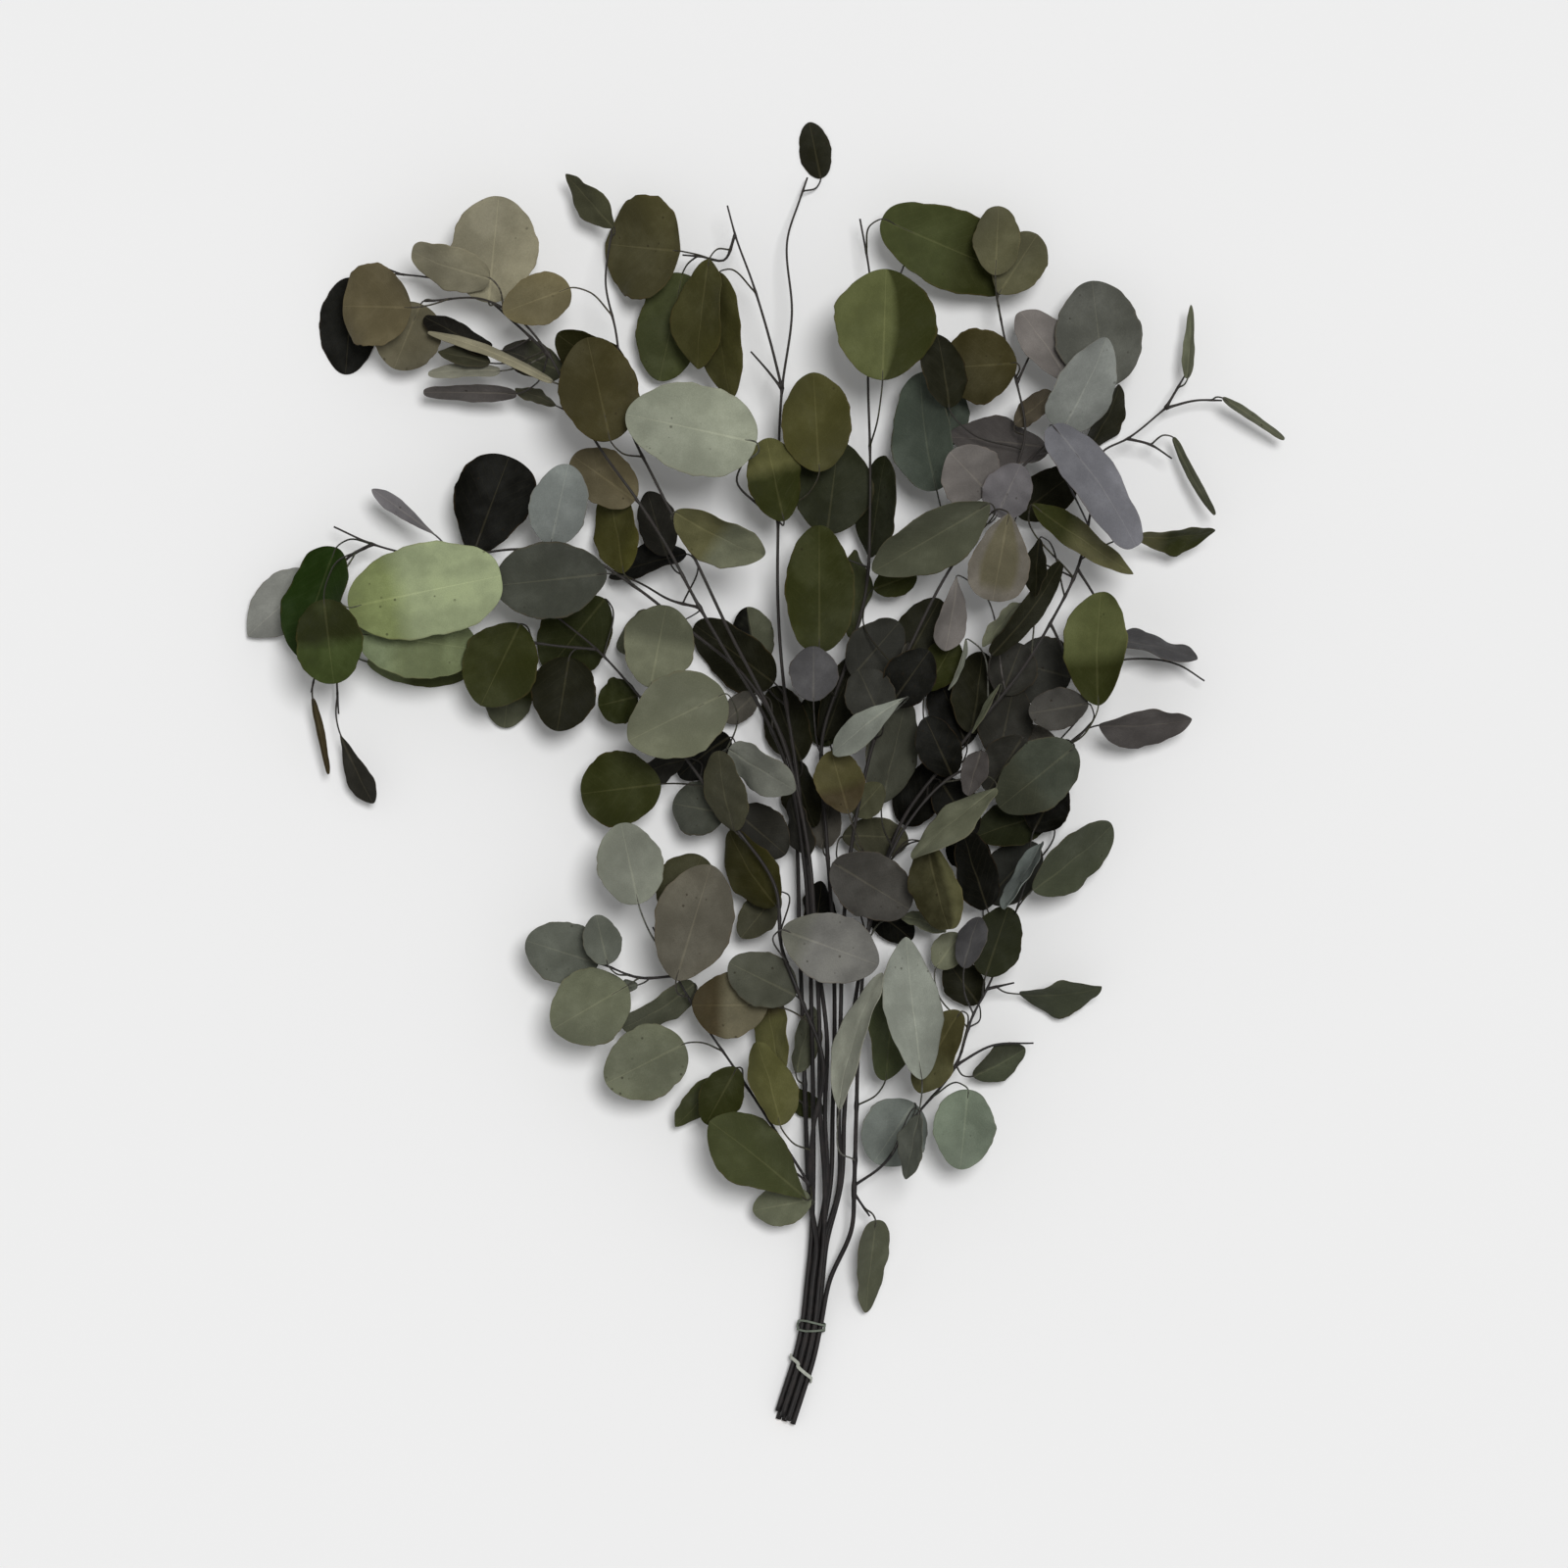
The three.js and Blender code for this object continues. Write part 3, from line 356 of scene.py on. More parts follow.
BRANCHES["branch_top"] = {
    "slot": (-0.5, 1), "cut": 0.1, "tied_points": 6,
    "stem": [
        (22, 125, 13), (21, 160, 17), (22, 200, 20), (18, 235, 22), (12, 288, 23), (6, 340, 25),
        (0, 380, 28), (-3, 420, 33), (-3, 465, 37), (-1, 532, 36), (4, 570, 30), (2, 611, 20),
        (8, 630, 12), (12, 642, 6),
    ],
    "twigs": [
        [(-3, 465, 37), (-14, 473, 48), (-24, 484, 58), (-17, 500, 66)],
        [(-1, 532, 36), (-7, 556, 38), (-16, 586, 37), (-25, 611, 33), (-29, 626, 31)],
        [(-25, 611, 33), (-31, 598, 30), (-42, 600, 28), (-52, 601, 26)],
        [(-1, 532, 36), (-9, 542, 37), (-17, 551, 38)],
    ],
    "leaves": [
        (-14, 503, -80, 517, 50, 80, "bloom_sage"),
        (-53, 602, -92, 608, 59, 24, "olive_khaki"),
        (-52, 592, -64, 537, 38, 18, "green_olive"),
        (-38, 598, -44, 542, 28, 36, "olive_warm"),
        (-33, 591, -27, 527, 25, 44, "olive_warm"),
        (0, 464, -9, 506, 30, 52, "olive_deep/olive_yellow/along/0.6"),
        (18, 489, 15, 540, 39, 48, "olive_warm"),
        (19, 642, 13, 671, 18, 0, "black_olive"),
        (-13, 390, -19, 421, 24, 14, "black/grey_olive/edge/0.05"),
        (-5, 382, -46, 412, 30, 14, "black_olive"),
        (9, 342, -6, 380, 26, 12, "black_olive"),
        (13, 293, 3, 323, 14, 10, "charcoal"),
        (6, 342, 16, 308, 20, 10, "black_olive"),
    ],
}

BRANCHES["branch_top_right_inner"] = {
    "slot": (0, 0), "cut": 0, "tied_points": 6,
    "stem": [
        (24, 125, 8), (25, 160, 10), (26, 210, 13), (25, 255, 15), (22, 300, 18), (20, 355, 22),
        (33, 395, 28), (42, 430, 33), (44, 470, 35), (44, 500, 34), (43, 535, 31), (44, 590, 24),
        (39, 620, 18),
    ],
    "twigs": [
        [(43, 545, 30), (52, 572, 28), (62, 597, 26)],
    ],
    "leaves": [
        (50, 535, 52, 592, 56, 62, "olive_bright/olive_deep/edge/-0.2"),
        # The darker olive_deep tip half of this leaf is painted shade, where a folded leaf turns away from
        # the light; the blade itself is not folded.
        (50, 619, 120, 590, 44, 26, "green_olive/olive_deep/along/0.55", "blunt"),
        (44, 446, 52, 498, 24, 26, "black_green"),
        (22, 458, 28, 506, 44, 28, "black_green"),
        (18, 397, 18, 462, 38, 50, "olive_deep"),
        (15, 372, 15, 400, 27, 62, "lavender_dark"),
        (20, 297, 24, 323, 16, 10, "taupe_dark"),
        (24, 350, 11, 374, 20, 12, "black_green"),
        (13, 248, 19, 280, 18, 8, "black"),
        (36, 404, 36, 450, 18, 40, "moss_olive"),
        (20, 352, 36, 398, 24, 14, "black_olive"),
    ],
}

BRANCHES["branch_upper_right"] = {
    "slot": (0.5, 1), "cut": 0.28, "tied_points": 6,
    "stem": [
        (28, 122, 14), (28, 160, 24), (29, 210, 30), (30, 250, 34), (34, 295, 38), (50, 365, 46),
        (68, 408, 50), (83, 437, 52), (95, 455, 52), (107, 473, 51), (115, 485, 48), (123, 508, 42),
        (119, 535, 36), (113, 558, 30), (109, 580, 24),
    ],
    "twigs": [
        [(115, 485, 48), (128, 498, 45), (142, 510, 40), (155, 520, 34), (165, 530, 30)],
        [(119, 535, 36), (127, 552, 30)],
    ],
    "leaves": [
        (104, 478, 84, 498, 36, 68, "mauve"),
        (108, 466, 120, 492, 27, 66, "lavender_grey"),
        (104, 472, 45, 438, 32, 72, "grey_olive"),
        (114, 467, 106, 423, 34, 66, "khaki/taupe_light/ring/0.62", "fan"),
        (142, 511, 164, 557, 33, 52, "grey_blue", "drop"),
        (164, 532, 158, 588, 48, 30, "slate_grey"),
        (119, 545, 82, 543, 42, 34, "brown_round"),
        (84, 522, 78, 560, 24, 14, "black_olive"),
        (78, 480, 70, 541, 33, 32, "slate_teal"),
        (82, 503, 88, 532, 22, 18, "slate_teal"),
        (135, 502, 84, 507, 26, 44, "plum"),
        (145, 536, 121, 572, 27, 34, "mauve"),
        (156, 502, 172, 535, 16, 14, "black_olive"),
        (118, 514, 137, 530, 14, 40, "taupe_brown"),
        (108, 590, 110, 626, 26, 32, "taupe_olive"),
        (110, 581, 130, 612, 30, 20, "taupe_olive"),
        (62, 374, 25, 345, 17, 66, "bloom_green", "spoon"),
        (35, 385, 59, 413, 30, 20, "slate_warm"),
        (50, 362, 38, 388, 28, 20, "slate_warm"),
        (62, 392, 80, 425, 28, 26, "black_olive"),
        (54, 370, 74, 398, 28, 22, "black"),
        (63, 402, 56, 387, 3, 40, "taupe_dark"),
        (46, 430, 68, 438, 18, 18, "olive_deep"),
    ],
}

BRANCHES["branch_right"] = {
    "slot": (1, 0), "cut": 0.06, "tied_points": 6,
    "stem": [
        (29.5, 125, 8), (31, 160, 12), (36, 215, 17), (45, 262, 21), (60, 310, 26), (92, 352, 32),
        (124, 392, 36), (136, 412, 37), (150, 440, 36), (158, 475, 32), (163, 500, 28), (176, 507, 24),
        (196, 523, 17),
    ],
    "twigs": [
        [(196, 523, 17), (206, 540, 15)],
        [(196, 523, 17), (212, 527, 15), (225, 527, 14)],
        [(176, 507, 24), (188, 504, 21), (199, 497, 19)],
        [(150, 440, 36), (160, 424, 32), (166, 410, 28)],
        [(136, 412, 37), (152, 388, 26), (176, 394, 20), (203, 391, 16), (216, 383, 13)],
    ],
    "leaves": [
        (136, 512, 178, 450, 27, 74, "lavender", "strap"),
        (207, 538, 209, 576, 6, 19, "sage_green", "drop"),
        (225, 528, 257, 507, 5, 18, "grey_olive", "strap"),
        (200, 508, 221, 468, 5, 18, "grey_olive", "strap"),
        (180, 457, 221, 460, 12, 28, "olive_deep/khaki_green/along_back/0.35"),
        (126, 472, 178, 437, 17, 54, "khaki_green/olive_deep/along_back/0.4", "pointed"),
        (120, 468, 150, 490, 26, 20, "black_olive"),
        (88, 436, 82, 398, 18, 44, "mauve", "spoon"),
        (106, 396, 141, 443, 13, 48, "black_olive", "strap"),
        (120, 422, 101, 400, 9, 52, "sage_olive"),
        (130, 455, 128, 425, 12, 56, "black_olive"),
        (166, 404, 212, 394, 13, 20, "lavender_dark"),
        (73, 378, 88, 404, 22, 24, "olive_deep"),
        (94, 350, 80, 384, 28, 14, "black"),
        (60, 310, 84, 342, 26, 12, "black"),
        (112, 376, 122, 402, 28, 20, "charcoal"),
        (93, 404, 84, 378, 3, 34, "sage"),
        (110, 381, 96, 356, 3, 34, "sage_green"),
        (96, 356, 102, 398, 28, 12, "black_olive"),
    ],
}

BRANCHES["branch_lower_right"] = {
    "slot": (1.5, 1), "cut": 0, "tied_points": 4,
    "stem": [
        (23, 73, 9), (35, 103, 16), (36, 124, 20), (37, 160, 27), (39, 215, 33), (46, 270, 36),
        (62, 308, 37), (86, 334, 36), (116, 345, 33), (146, 350, 29), (158, 362, 26),
    ],
    "twigs": [
        [(36, 124, 20), (50, 134, 23), (66, 158, 27), (88, 186, 29), (97, 212, 28), (104, 225, 26),
         (118, 262, 21), (130, 298, 16)],
        [(88, 186, 29), (107, 196, 24), (128, 197, 18)],
        [(36, 120, 19), (44, 108, 14)],
        [(104, 225, 26), (118, 228, 20)],
    ],
    "leaves": [
        (28, 165, 50, 234, 15, 66, "bloom_light"),
        (70, 180, 62, 252, 31, 60, "bloom_green"),
        (52, 178, 56, 236, 28, 30, "olive_green_deep"),
        (90, 214, 68, 173, 25, 46, "olive_khaki/khaki_green/along/0.5"),
        (94, 174, 90, 133, 34, 40, "green_grey"),
        (67, 166, 46, 136, 37, 16, "teal_grey"),
        (69, 162, 62, 129, 13, 36, "grey_green"),
        (97, 180, 124, 194, 18, 14, "moss_dark/moss/edge/0.1"),
        (121, 222, 163, 226, 17, 16, "moss"),
        (47, 106, 42, 58, 17, 12, "grey_olive", "drop"),
        (108, 328, 65, 292, 16, 66, "sage_olive"),
        (73, 299, 84, 256, 26, 54, "olive_black/khaki_green/side/0.5", "blunt"),
        (60, 262, 83, 254, 10, 22, "sage_green"),
        (50, 320, 62, 372, 27, 30, "slate_olive"),
        (33, 315, 24, 347, 27, 48, "olive_khaki/brown_olive/along_back/0.4"),
        (36, 314, 50, 330, 18, 26, "olive_grey"),
        (30, 303, 64, 301, 22, 12, "khaki_dark"),
        (25, 290, 64, 266, 36, 44, "plum_grey"),
        (101, 347, 94, 324, 14, 46, "plum"),
        (92, 236, 100, 262, 16, 38, "lavender_dark"),
        (78, 236, 90, 253, 18, 22, "sage_olive"),
        (100, 217, 84, 239, 22, 12, "black_olive"),
        (103, 232, 115, 267, 28, 12, "black_green"),
        (160, 370, 162, 428, 34, 50, "olive_bright/olive_deep/along_back/0.4"),
        (148, 385, 118, 393, 38, 0, "slate_warm"),
        (155, 371, 125, 366, 23, 48, "plum_grey"),
        (161, 360, 209, 363, 20, 30, "plum"),
        (148, 349, 110, 318, 36, 46, "slate_moss/moss_dark/along/0.55"),
        (140, 352, 104, 342, 30, 16, "taupe_dark"),
        (128, 306, 142, 332, 26, 20, "black"),
        (127, 276, 168, 309, 27, 34, "moss"),
        (104, 270, 131, 299, 30, 0, "black_slate"),
        (132, 300, 112, 266, 9, 42, "blue_grey"),
        (122, 354, 104, 326, 27, 22, "charcoal"),
        (110, 344, 118, 380, 30, 14, "charcoal"),
        (136, 314, 99, 303, 26, 12, "black_green"),
        (104, 266, 91, 306, 24, 9, "black"),
        (44, 268, 66, 250, 20, 10, "black"),
        (80, 332, 98, 304, 24, 16, "black"),
        (86, 334, 72, 364, 24, 8, "black"),
        (84, 300, 106, 290, 22, 8, "black"),
    ],
}



def in_metres(points):
    moved = np.asarray(points, dtype=float) - (PLAN_MIDDLE[0], PLAN_MIDDLE[1], 0)
    return moved / 1000


def colour_of(rgb):
    linear = [(c / 255 / 12.92) if c <= 10 else ((c / 255 + 0.055) / 1.055) ** 2.4 for c in rgb]
    return (*linear, 1)


def draws_from(seed):
    state = seed

    def draw():
        nonlocal state
        state = (state * 1664525 + 1013904223) % 4294967296
        return state / 4294967296
    return draw


def unit(v):
    return v / np.linalg.norm(v)


# The leaf rule of the solids

def leaf_habit(leaf, draw):
    x0, y0, x1, y1, seen, height = leaf[:6]
    form = leaf[7] if len(leaf) > 7 else None
    run = math.hypot(x1 - x0, y1 - y0)
    flat = height == 0
    slope = 0 if flat else 0.08 + 0.2 * draw()
    length = max(run / math.cos(slope), 0 if flat else LENGTH_TO_WIDTH * seen)
    unseen = seen * FORMS.get(form, {}).get("unseen", UNSEEN_TO_SEEN)
    width = seen if flat else max(seen, min(WIDTH_TO_LENGTH * run, WIDEST_UNSEEN, unseen))
    habit = {"run": run, "length": length, "width": width, "flat": flat}
    habit["fall"] = (-1 if draw() < 0.68 else 1) * math.acos(min(1, run / length))
    habit["roll"] = (-1 if draw() < 0.5 else 1) * math.acos(min(1, seen / width))
    habit["bow"] = 0 if flat else -0.02 + 0.09 * draw()
    habit["cup"] = 0 if flat else -0.1 + 0.36 * draw()
    habit["wave"] = 0 if flat else 0.05 + 0.13 * draw()
    habit["phase"] = 2 * math.pi * draw()
    habit["fullness"] = (0.6 if seen / run < SLENDER else 0.47) + 0.09 * draw()
    habit["widest"] = 0.84 + 0.26 * draw()
    small = seen / run < SLENDER or run < SMALL_LEAF
    habit["rows"] = SMALL_BLADE_ROWS if small else BLADE_ROWS
    habit.update(FORMS.get(form, {}))
    return habit


class Blade:
    """The surface of one leaf in one of the ways it may be set."""

    def __init__(self, leaf, habit, lift, growth, roll_flip, fall_flip):
        x0, y0, x1, y1, _, height = leaf[:6]
        fall = habit["fall"] * fall_flip
        roll = habit["roll"] * roll_flip
        self.habit = habit
        self.length = habit["length"] * growth
        self.half_width = habit["width"] / 2 * growth
        rise = self.length * math.sin(fall)
        middle = BLADE_THICKNESS / 2 if habit["flat"] else height + lift
        self.base = np.array((x0, y0, middle - rise / 2))
        flat_ahead = np.array((x1 - x0, y1 - y0, 0)) / habit["run"]
        self.ahead = flat_ahead * math.cos(fall)
        self.ahead[2] = math.sin(fall)
        level = unit(np.cross((0, 0, 1), self.ahead))
        over = np.cross(self.ahead, level)
        self.aside = level * math.cos(roll) + over * math.sin(roll)
        self.normal = np.cross(self.ahead, self.aside)

    def half(self, along):
        full = np.sin(np.pi * np.clip(along, 0, 1) ** self.habit["widest"])
        return self.half_width * np.maximum(full, 0) ** self.habit["fullness"]

    def at(self, along, across):
        along, across = np.broadcast_arrays(np.asarray(along, float), np.asarray(across, float))
        half = self.half(along)
        habit = self.habit
        ripple = np.sin(habit["phase"] + 8 * along + across)
        bend = habit["bow"] * self.length * 4 * along * (1 - along)
        curl = half * across ** 2 * (habit["cup"] + habit["wave"] * ripple)
        return (self.base + self.ahead * (along * self.length)[..., None]
                + self.aside * (half * across)[..., None]
                + self.normal * (bend + curl)[..., None])

    def outline(self):
        rows = np.array(self.habit["rows"])
        points = np.concatenate([self.at(rows, 1), self.at(rows, -1), self.at(np.array([1.0]), 0)])
        off = self.normal * BLADE_THICKNESS / 2
        return np.concatenate([points + off, points - off])


def ways_to_set(flat):
    for growth in GROWTHS:
        for i in range(1 if flat else LIFT_TRIES):
            lift = LIFT_STEP * math.ceil(i / 2) * (1 if i % 2 else -1)
            for roll_flip, fall_flip in FLIPS:
                yield lift, growth, roll_flip, fall_flip


def tree_of(node):
    """The corners of a branch's solid, to find in which way each of its leaves was set."""
    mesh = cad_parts[node].data
    tree = kdtree.KDTree(len(mesh.vertices))
    for i, v in enumerate(mesh.vertices):
        tree.insert((v.co.x * 1000 + PLAN_MIDDLE[0], v.co.y * 1000 + PLAN_MIDDLE[1], v.co.z * 1000), i)
    tree.balance()
    return tree


def blade_as_set(leaf, seed, tree):
    habit = leaf_habit(leaf, draws_from(seed))
    for way in ways_to_set(habit["flat"]):
        blade = Blade(leaf, habit, *way)
        corners = blade.outline()
        found = sum(tree.find(Vector(p))[2] < SAME_PLACE for p in corners)
        if found >= SEEN_SHARE * len(corners):
            return blade
    return None


# Lines of the wood

def in_bundle(slot, step):
    before = min(int(step), len(BUNDLE_LINE) - 2)
    share = step - before
    (x0, y0), (x1, y1) = BUNDLE_LINE[before:before + 2]
    length = math.hypot(x1 - x0, y1 - y0)
    aside = slot[0] * STEM_PITCH
    low = BUNDLE_HEIGHTS[before] * (1 - share) + BUNDLE_HEIGHTS[before + 1] * share
    # square to the line, so that the stems keep their distance where it turns
    return (x0 + (x1 - x0) * share + aside * (y1 - y0) / length,
            y0 + (y1 - y0) * share - aside * (x1 - x0) / length,
            low + slot[1] * ROW_PITCH)


def stem_route(branch):
    steps = [branch["cut"], *range(1, branch["tied_points"])]
    return [in_bundle(branch["slot"], step) for step in steps] + branch["stem"]


def smooth_line(points, spacing):
    """A smooth line through the points: each span is a cubic with the slopes of its neighbours."""
    p = np.array(points, dtype=float)
    spans = np.linalg.norm(np.diff(p, axis=0), axis=1)
    slopes = np.empty_like(p)
    slopes[0] = (p[1] - p[0]) / spans[0]
    slopes[-1] = (p[-1] - p[-2]) / spans[-1]
    for i in range(1, len(p) - 1):
        before, after = (p[i] - p[i - 1]) / spans[i - 1], (p[i + 1] - p[i]) / spans[i]
        slopes[i] = (before * spans[i] + after * spans[i - 1]) / (spans[i] + spans[i - 1])
    line = []
    for i, span in enumerate(spans):
        steps = max(2, round(span / spacing))
        for t in np.arange(steps) / steps:
            a, b = 2 * t ** 3 - 3 * t ** 2 + 1, t ** 3 - 2 * t ** 2 + t
            c, d = -2 * t ** 3 + 3 * t ** 2, t ** 3 - t ** 2
            line.append(a * p[i] + b * span * slopes[i] + c * p[i + 1] + d * span * slopes[i + 1])
    line.append(p[-1])
    return np.array(line)


class Shape:
    """Points, faces and what the material reads at each point, gathered for one piece."""

    def __init__(self):
        self.points, self.faces, self.slots = [], [], []
        self.marks = {}
        self.count = 0

    def add(self, points, faces, slot=0, **marks):
        n = len(points)
        self.points.append(points)
        self.faces += [[corner + self.count for corner in face] for face in faces]
        self.slots += [slot] * len(faces)
        for name, values in marks.items():
            self.marks.setdefault(name, []).append(np.broadcast_to(values, (n, np.shape(values)[-1])))
        self.count += n

    def piece(self, name, materials):
        mesh = bpy.data.meshes.new(name)
        points = np.concatenate(self.points)
        points[:, 2] = np.maximum(points[:, 2], LOWEST)
        points = in_metres(points)
        mesh.from_pydata(points.tolist(), [], self.faces)
        mesh.update()
        mesh.polygons.foreach_set("use_smooth", [True] * len(mesh.polygons))
        mesh.polygons.foreach_set("material_index", self.slots)
        for mark, values in self.marks.items():
            data = np.concatenate(values)
            kind, key = ("FLOAT_COLOR", "color") if data.shape[1] == 4 else ("FLOAT_VECTOR", "vector")
            layer = mesh.attributes.new(mark, kind, "POINT")
            layer.data.foreach_set(key, data.astype(np.float32).ravel())
        for material in materials:
            mesh.materials.append(material)
        piece = bpy.data.objects.new(name, mesh)
        bpy.context.collection.objects.link(piece)
        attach(piece, "root")
        return piece


def tube(line, radii, sides):
    """Points and faces of a round bar with its ends closed, and how far along it each point is."""
    line = np.asarray(line)
    ahead = np.gradient(line, axis=0)
    across = np.array((0.0, 0.0, 1.0))
    points = []
    turn = 2 * np.pi * (np.arange(sides) + 0.5) / sides
    for centre, way, radius in zip(line, ahead, radii):
        way = unit(way)
        across = unit(across - way * across.dot(way))
        side = np.cross(way, across)
        points.append(centre + radius * (np.outer(np.cos(turn), across) + np.outer(np.sin(turn), side)))
    n = len(line)
    faces = []
    for i in range(n - 1):
        for k in range(sides):
            a, b = i * sides + k, i * sides + (k + 1) % sides
            faces.append((a, b, b + sides, a + sides))
    points = np.concatenate(points + [line[:1], line[-1:]])
    first, last = n * sides, n * sides + 1
    far = (n - 1) * sides
    for k in range(sides):
        faces.append((first, (k + 1) % sides, k))
        faces.append((last, far + k, far + (k + 1) % sides))
    along = np.concatenate([np.repeat(np.arange(n) / (n - 1), sides), [0, 1]])
    return points, faces, along


# The fine pieces

def swellings(line, radii, knots):
    """Thickens a stem a little where a twig or a stalk leaves it."""
    radii = np.array(radii)
    for knot in knots:
        apart = np.linalg.norm(line - knot, axis=1)
        radii = radii * (1 + KNOT_SWELLING * np.exp(-(apart / KNOT_REACH) ** 2))
    return radii


def nearest_on(lines, point):
    best = min(lines, key=lambda line: np.linalg.norm(line - point, axis=1).min())
    i = int(np.linalg.norm(best - point, axis=1).argmin())
    return best, i


def stalk_line(lines, blade):
    base = blade.at(np.array([0.0]), 0)[0]
    line, i = nearest_on(lines, base)
    lead = STALK_LEAD * np.linalg.norm(line[i] - base)
    while i > 0 and lead > 0:
        lead -= np.linalg.norm(line[i] - line[i - 1])
        i -= 1
    start = line[i]
    far = np.linalg.norm(start - base)
    bend = base - blade.ahead * STALK_BEND * far
    middle = (bend + (start + base) / 2) / 2
    rib = blade.at(np.array(STALK_IN_LEAF), 0) - blade.normal * FINE_THICKNESS * STALK_BELOW_LEAF
    return smooth_line([start, middle, base, *rib], STALK_SPACING), start


def tone_of(words):
    parts = words.split("/")
    main = TONES[parts[0]]
    second = TONES[parts[1]] if len(parts) > 1 else tuple(0.72 * c + 12 for c in main)
    way, start = (parts[2], float(parts[3])) if len(parts) > 2 else ("faint", 0)
    return np.array(colour_of(main)), np.array(colour_of(second)), way, start


def spread_of_second(way, start, along, across, seed):
    """How much of the second tone each point has, before the material breaks up its edge."""
    if way == "faint":
        return 0.32 + 0.3 * np.sin(seed + 3 * along + 1.4 * across)
    run = {
        "along": along - start, "along_back": start - along, "across": across - start,
        "edge": start - across, "side": across - start,
        "ring": np.maximum(np.abs(across) - start, along - 0.84),
    }[way]
    return np.clip(0.5 + run / 0.16, 0, 1)


def kept_width(along, side, phases):
    kept = 1
    for (depth, beat, shift), phase in zip(EDGE_WAVES, phases):
        kept = kept - depth * (1 + np.sin(phase + beat * along + shift * side))
    return kept


def add_blade(shape, blade, tone, seed):
    u = (1 - np.cos(np.pi * np.arange(FINE_ALONG + 1) / FINE_ALONG)) / 2
    v = np.array(FINE_ACROSS)
    along, across = np.meshgrid(u, v, indexing="ij")
    rows, columns = along.shape
    draw = draws_from(seed + 5)
    phases = [2 * np.pi * draw() for _ in EDGE_WAVES]
    a, b, c = phases[:3]
    middle = blade.at(along, across * kept_width(along, np.sign(across), phases))
    flat = 0.25 if blade.habit["flat"] else 1
    swell = 0.3 * np.sin(b + 9 * along + 3 * across) + 0.22 * np.sin(c + 17 * along - 5 * across)
    swell = swell * np.sin(np.pi * along) + 0.35 * np.abs(across) ** 3 * np.sin(a + 23 * along)
    swell = swell * flat * min(1, blade.half_width / 12)
    groove = MIDRIB_GROOVE * np.exp(-(across * blade.half_width / MIDRIB_BREADTH) ** 2) * (1 - along)
    half = FINE_THICKNESS / 2 * (1 - EDGE_THINNING * across ** 4)
    up = blade.normal
    top = middle + up * (swell + half - groove)[..., None]
    under = middle + up * (swell - half - groove)[..., None]
    top[..., 2] = np.maximum(top[..., 2], FINE_THICKNESS)
    under[..., 2] = np.maximum(under[..., 2], UNDERSIDE_LOWEST)
    points = np.concatenate([top.reshape(-1, 3), under.reshape(-1, 3)])
    n = rows * columns
    faces = []
    for i in range(rows - 1):
        for k in range(columns - 1):
            p, q = i * columns + k, (i + 1) * columns + k
            faces.append((p, q, q + 1, p + 1))
            faces.append((n + p, n + p + 1, n + q + 1, n + q))
        p, q = i * columns, (i + 1) * columns
        faces.append((p, p + n, q + n, q))
        p, q = p + columns - 1, q + columns - 1
        faces.append((p, q, q + n, p + n))
    main, second, way, start = tone
    spot = np.stack([along * blade.length, across * blade.half(along), np.full_like(along, seed % 97)], -1)
    place = np.stack([along, across, np.ones_like(along)], -1).reshape(-1, 3)
    below = place * (1, 1, 0)
    share = spread_of_second(way, start, along, across, seed).reshape(-1, 1)
    share = np.concatenate([share, share * 0, share * 0], 1)
    shape.add(points, faces, 0, tone=main, second=second,
              spot=np.tile(spot.reshape(-1, 3), (2, 1)),
              place=np.concatenate([place, below]), share=np.tile(share, (2, 1)))


def add_stalk(shape, line, tone, seed):
    n = len(line)
    radii = np.linspace(*STALK_RADII, n)
    radii[0] *= STALK_FOOT
    radii[-2:] = STALK_END_RADII
    points, faces, along = tube(line, radii, STALK_SIDES)
    bark = np.array(colour_of(STALK_BARK))
    mixed = bark * STALK_BARK_SHARE + tone[0] * (1 - STALK_BARK_SHARE)
    spot = np.stack([along * 30, along * 0, along * 0 + seed % 97], -1)
    shape.add(points, faces, 1, tone=mixed, second=bark, spot=spot,
              place=np.stack([along, along * 0, along * 0 + 1], -1), share=np.zeros(3))


def grow_branch(name, branch, index, looks):
    tree = tree_of(name)
    stem = smooth_line(stem_route(branch), WOOD_SPACING)
    twigs = [smooth_line(t, WOOD_SPACING) for t in branch["twigs"]]
    lines = [stem, *twigs]
    leaves, knots = Shape(), [t[0] for t in twigs]
    unset = []
    for k, leaf in enumerate(branch["leaves"]):
        seed = FIRST_SEED * (index + 1) + SEED_STEP * k
        blade = blade_as_set(leaf, seed, tree)
        if blade is None:
            unset.append(k)
            continue
        tone = tone_of(leaf[6])
        stalk, start = stalk_line(lines, blade)
        knots.append(start)
        add_blade(leaves, blade, tone, seed)
        add_stalk(leaves, stalk, tone, seed)
    if unset:
        print(name, "has leaves that its solid doesn't show:", unset)
    wood = Shape()
    for i, line in enumerate(lines):
        ends = TWIG_RADII if i else STEM_RADII
        radii = swellings(line, np.linspace(*ends, len(line)), knots)
        points, faces, along = tube(line, radii, STEM_SIDES)
        height = np.stack([along * 0, np.concatenate([np.repeat(line[:, 1], STEM_SIDES), line[[0, -1], 1]]),
                           along * 0 + index], -1)
        wood.add(points, faces, 0, place=height)
        if i == 0:
            cut_middle = len(points) - 2
            wood.slots[-len(faces):] = [int(face[0] == cut_middle) for face in faces]
    slot = looks["slot"][name]
    foliage = leaves.piece(name + "_leaves", [looks[slot], looks["stalk"]])
    bark = wood.piece(name + "_wood", [looks["bark"], looks["cut"]])
    for piece, finish in ((foliage, slot), (bark, "stem_wood")):
        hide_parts(name)


# Ties

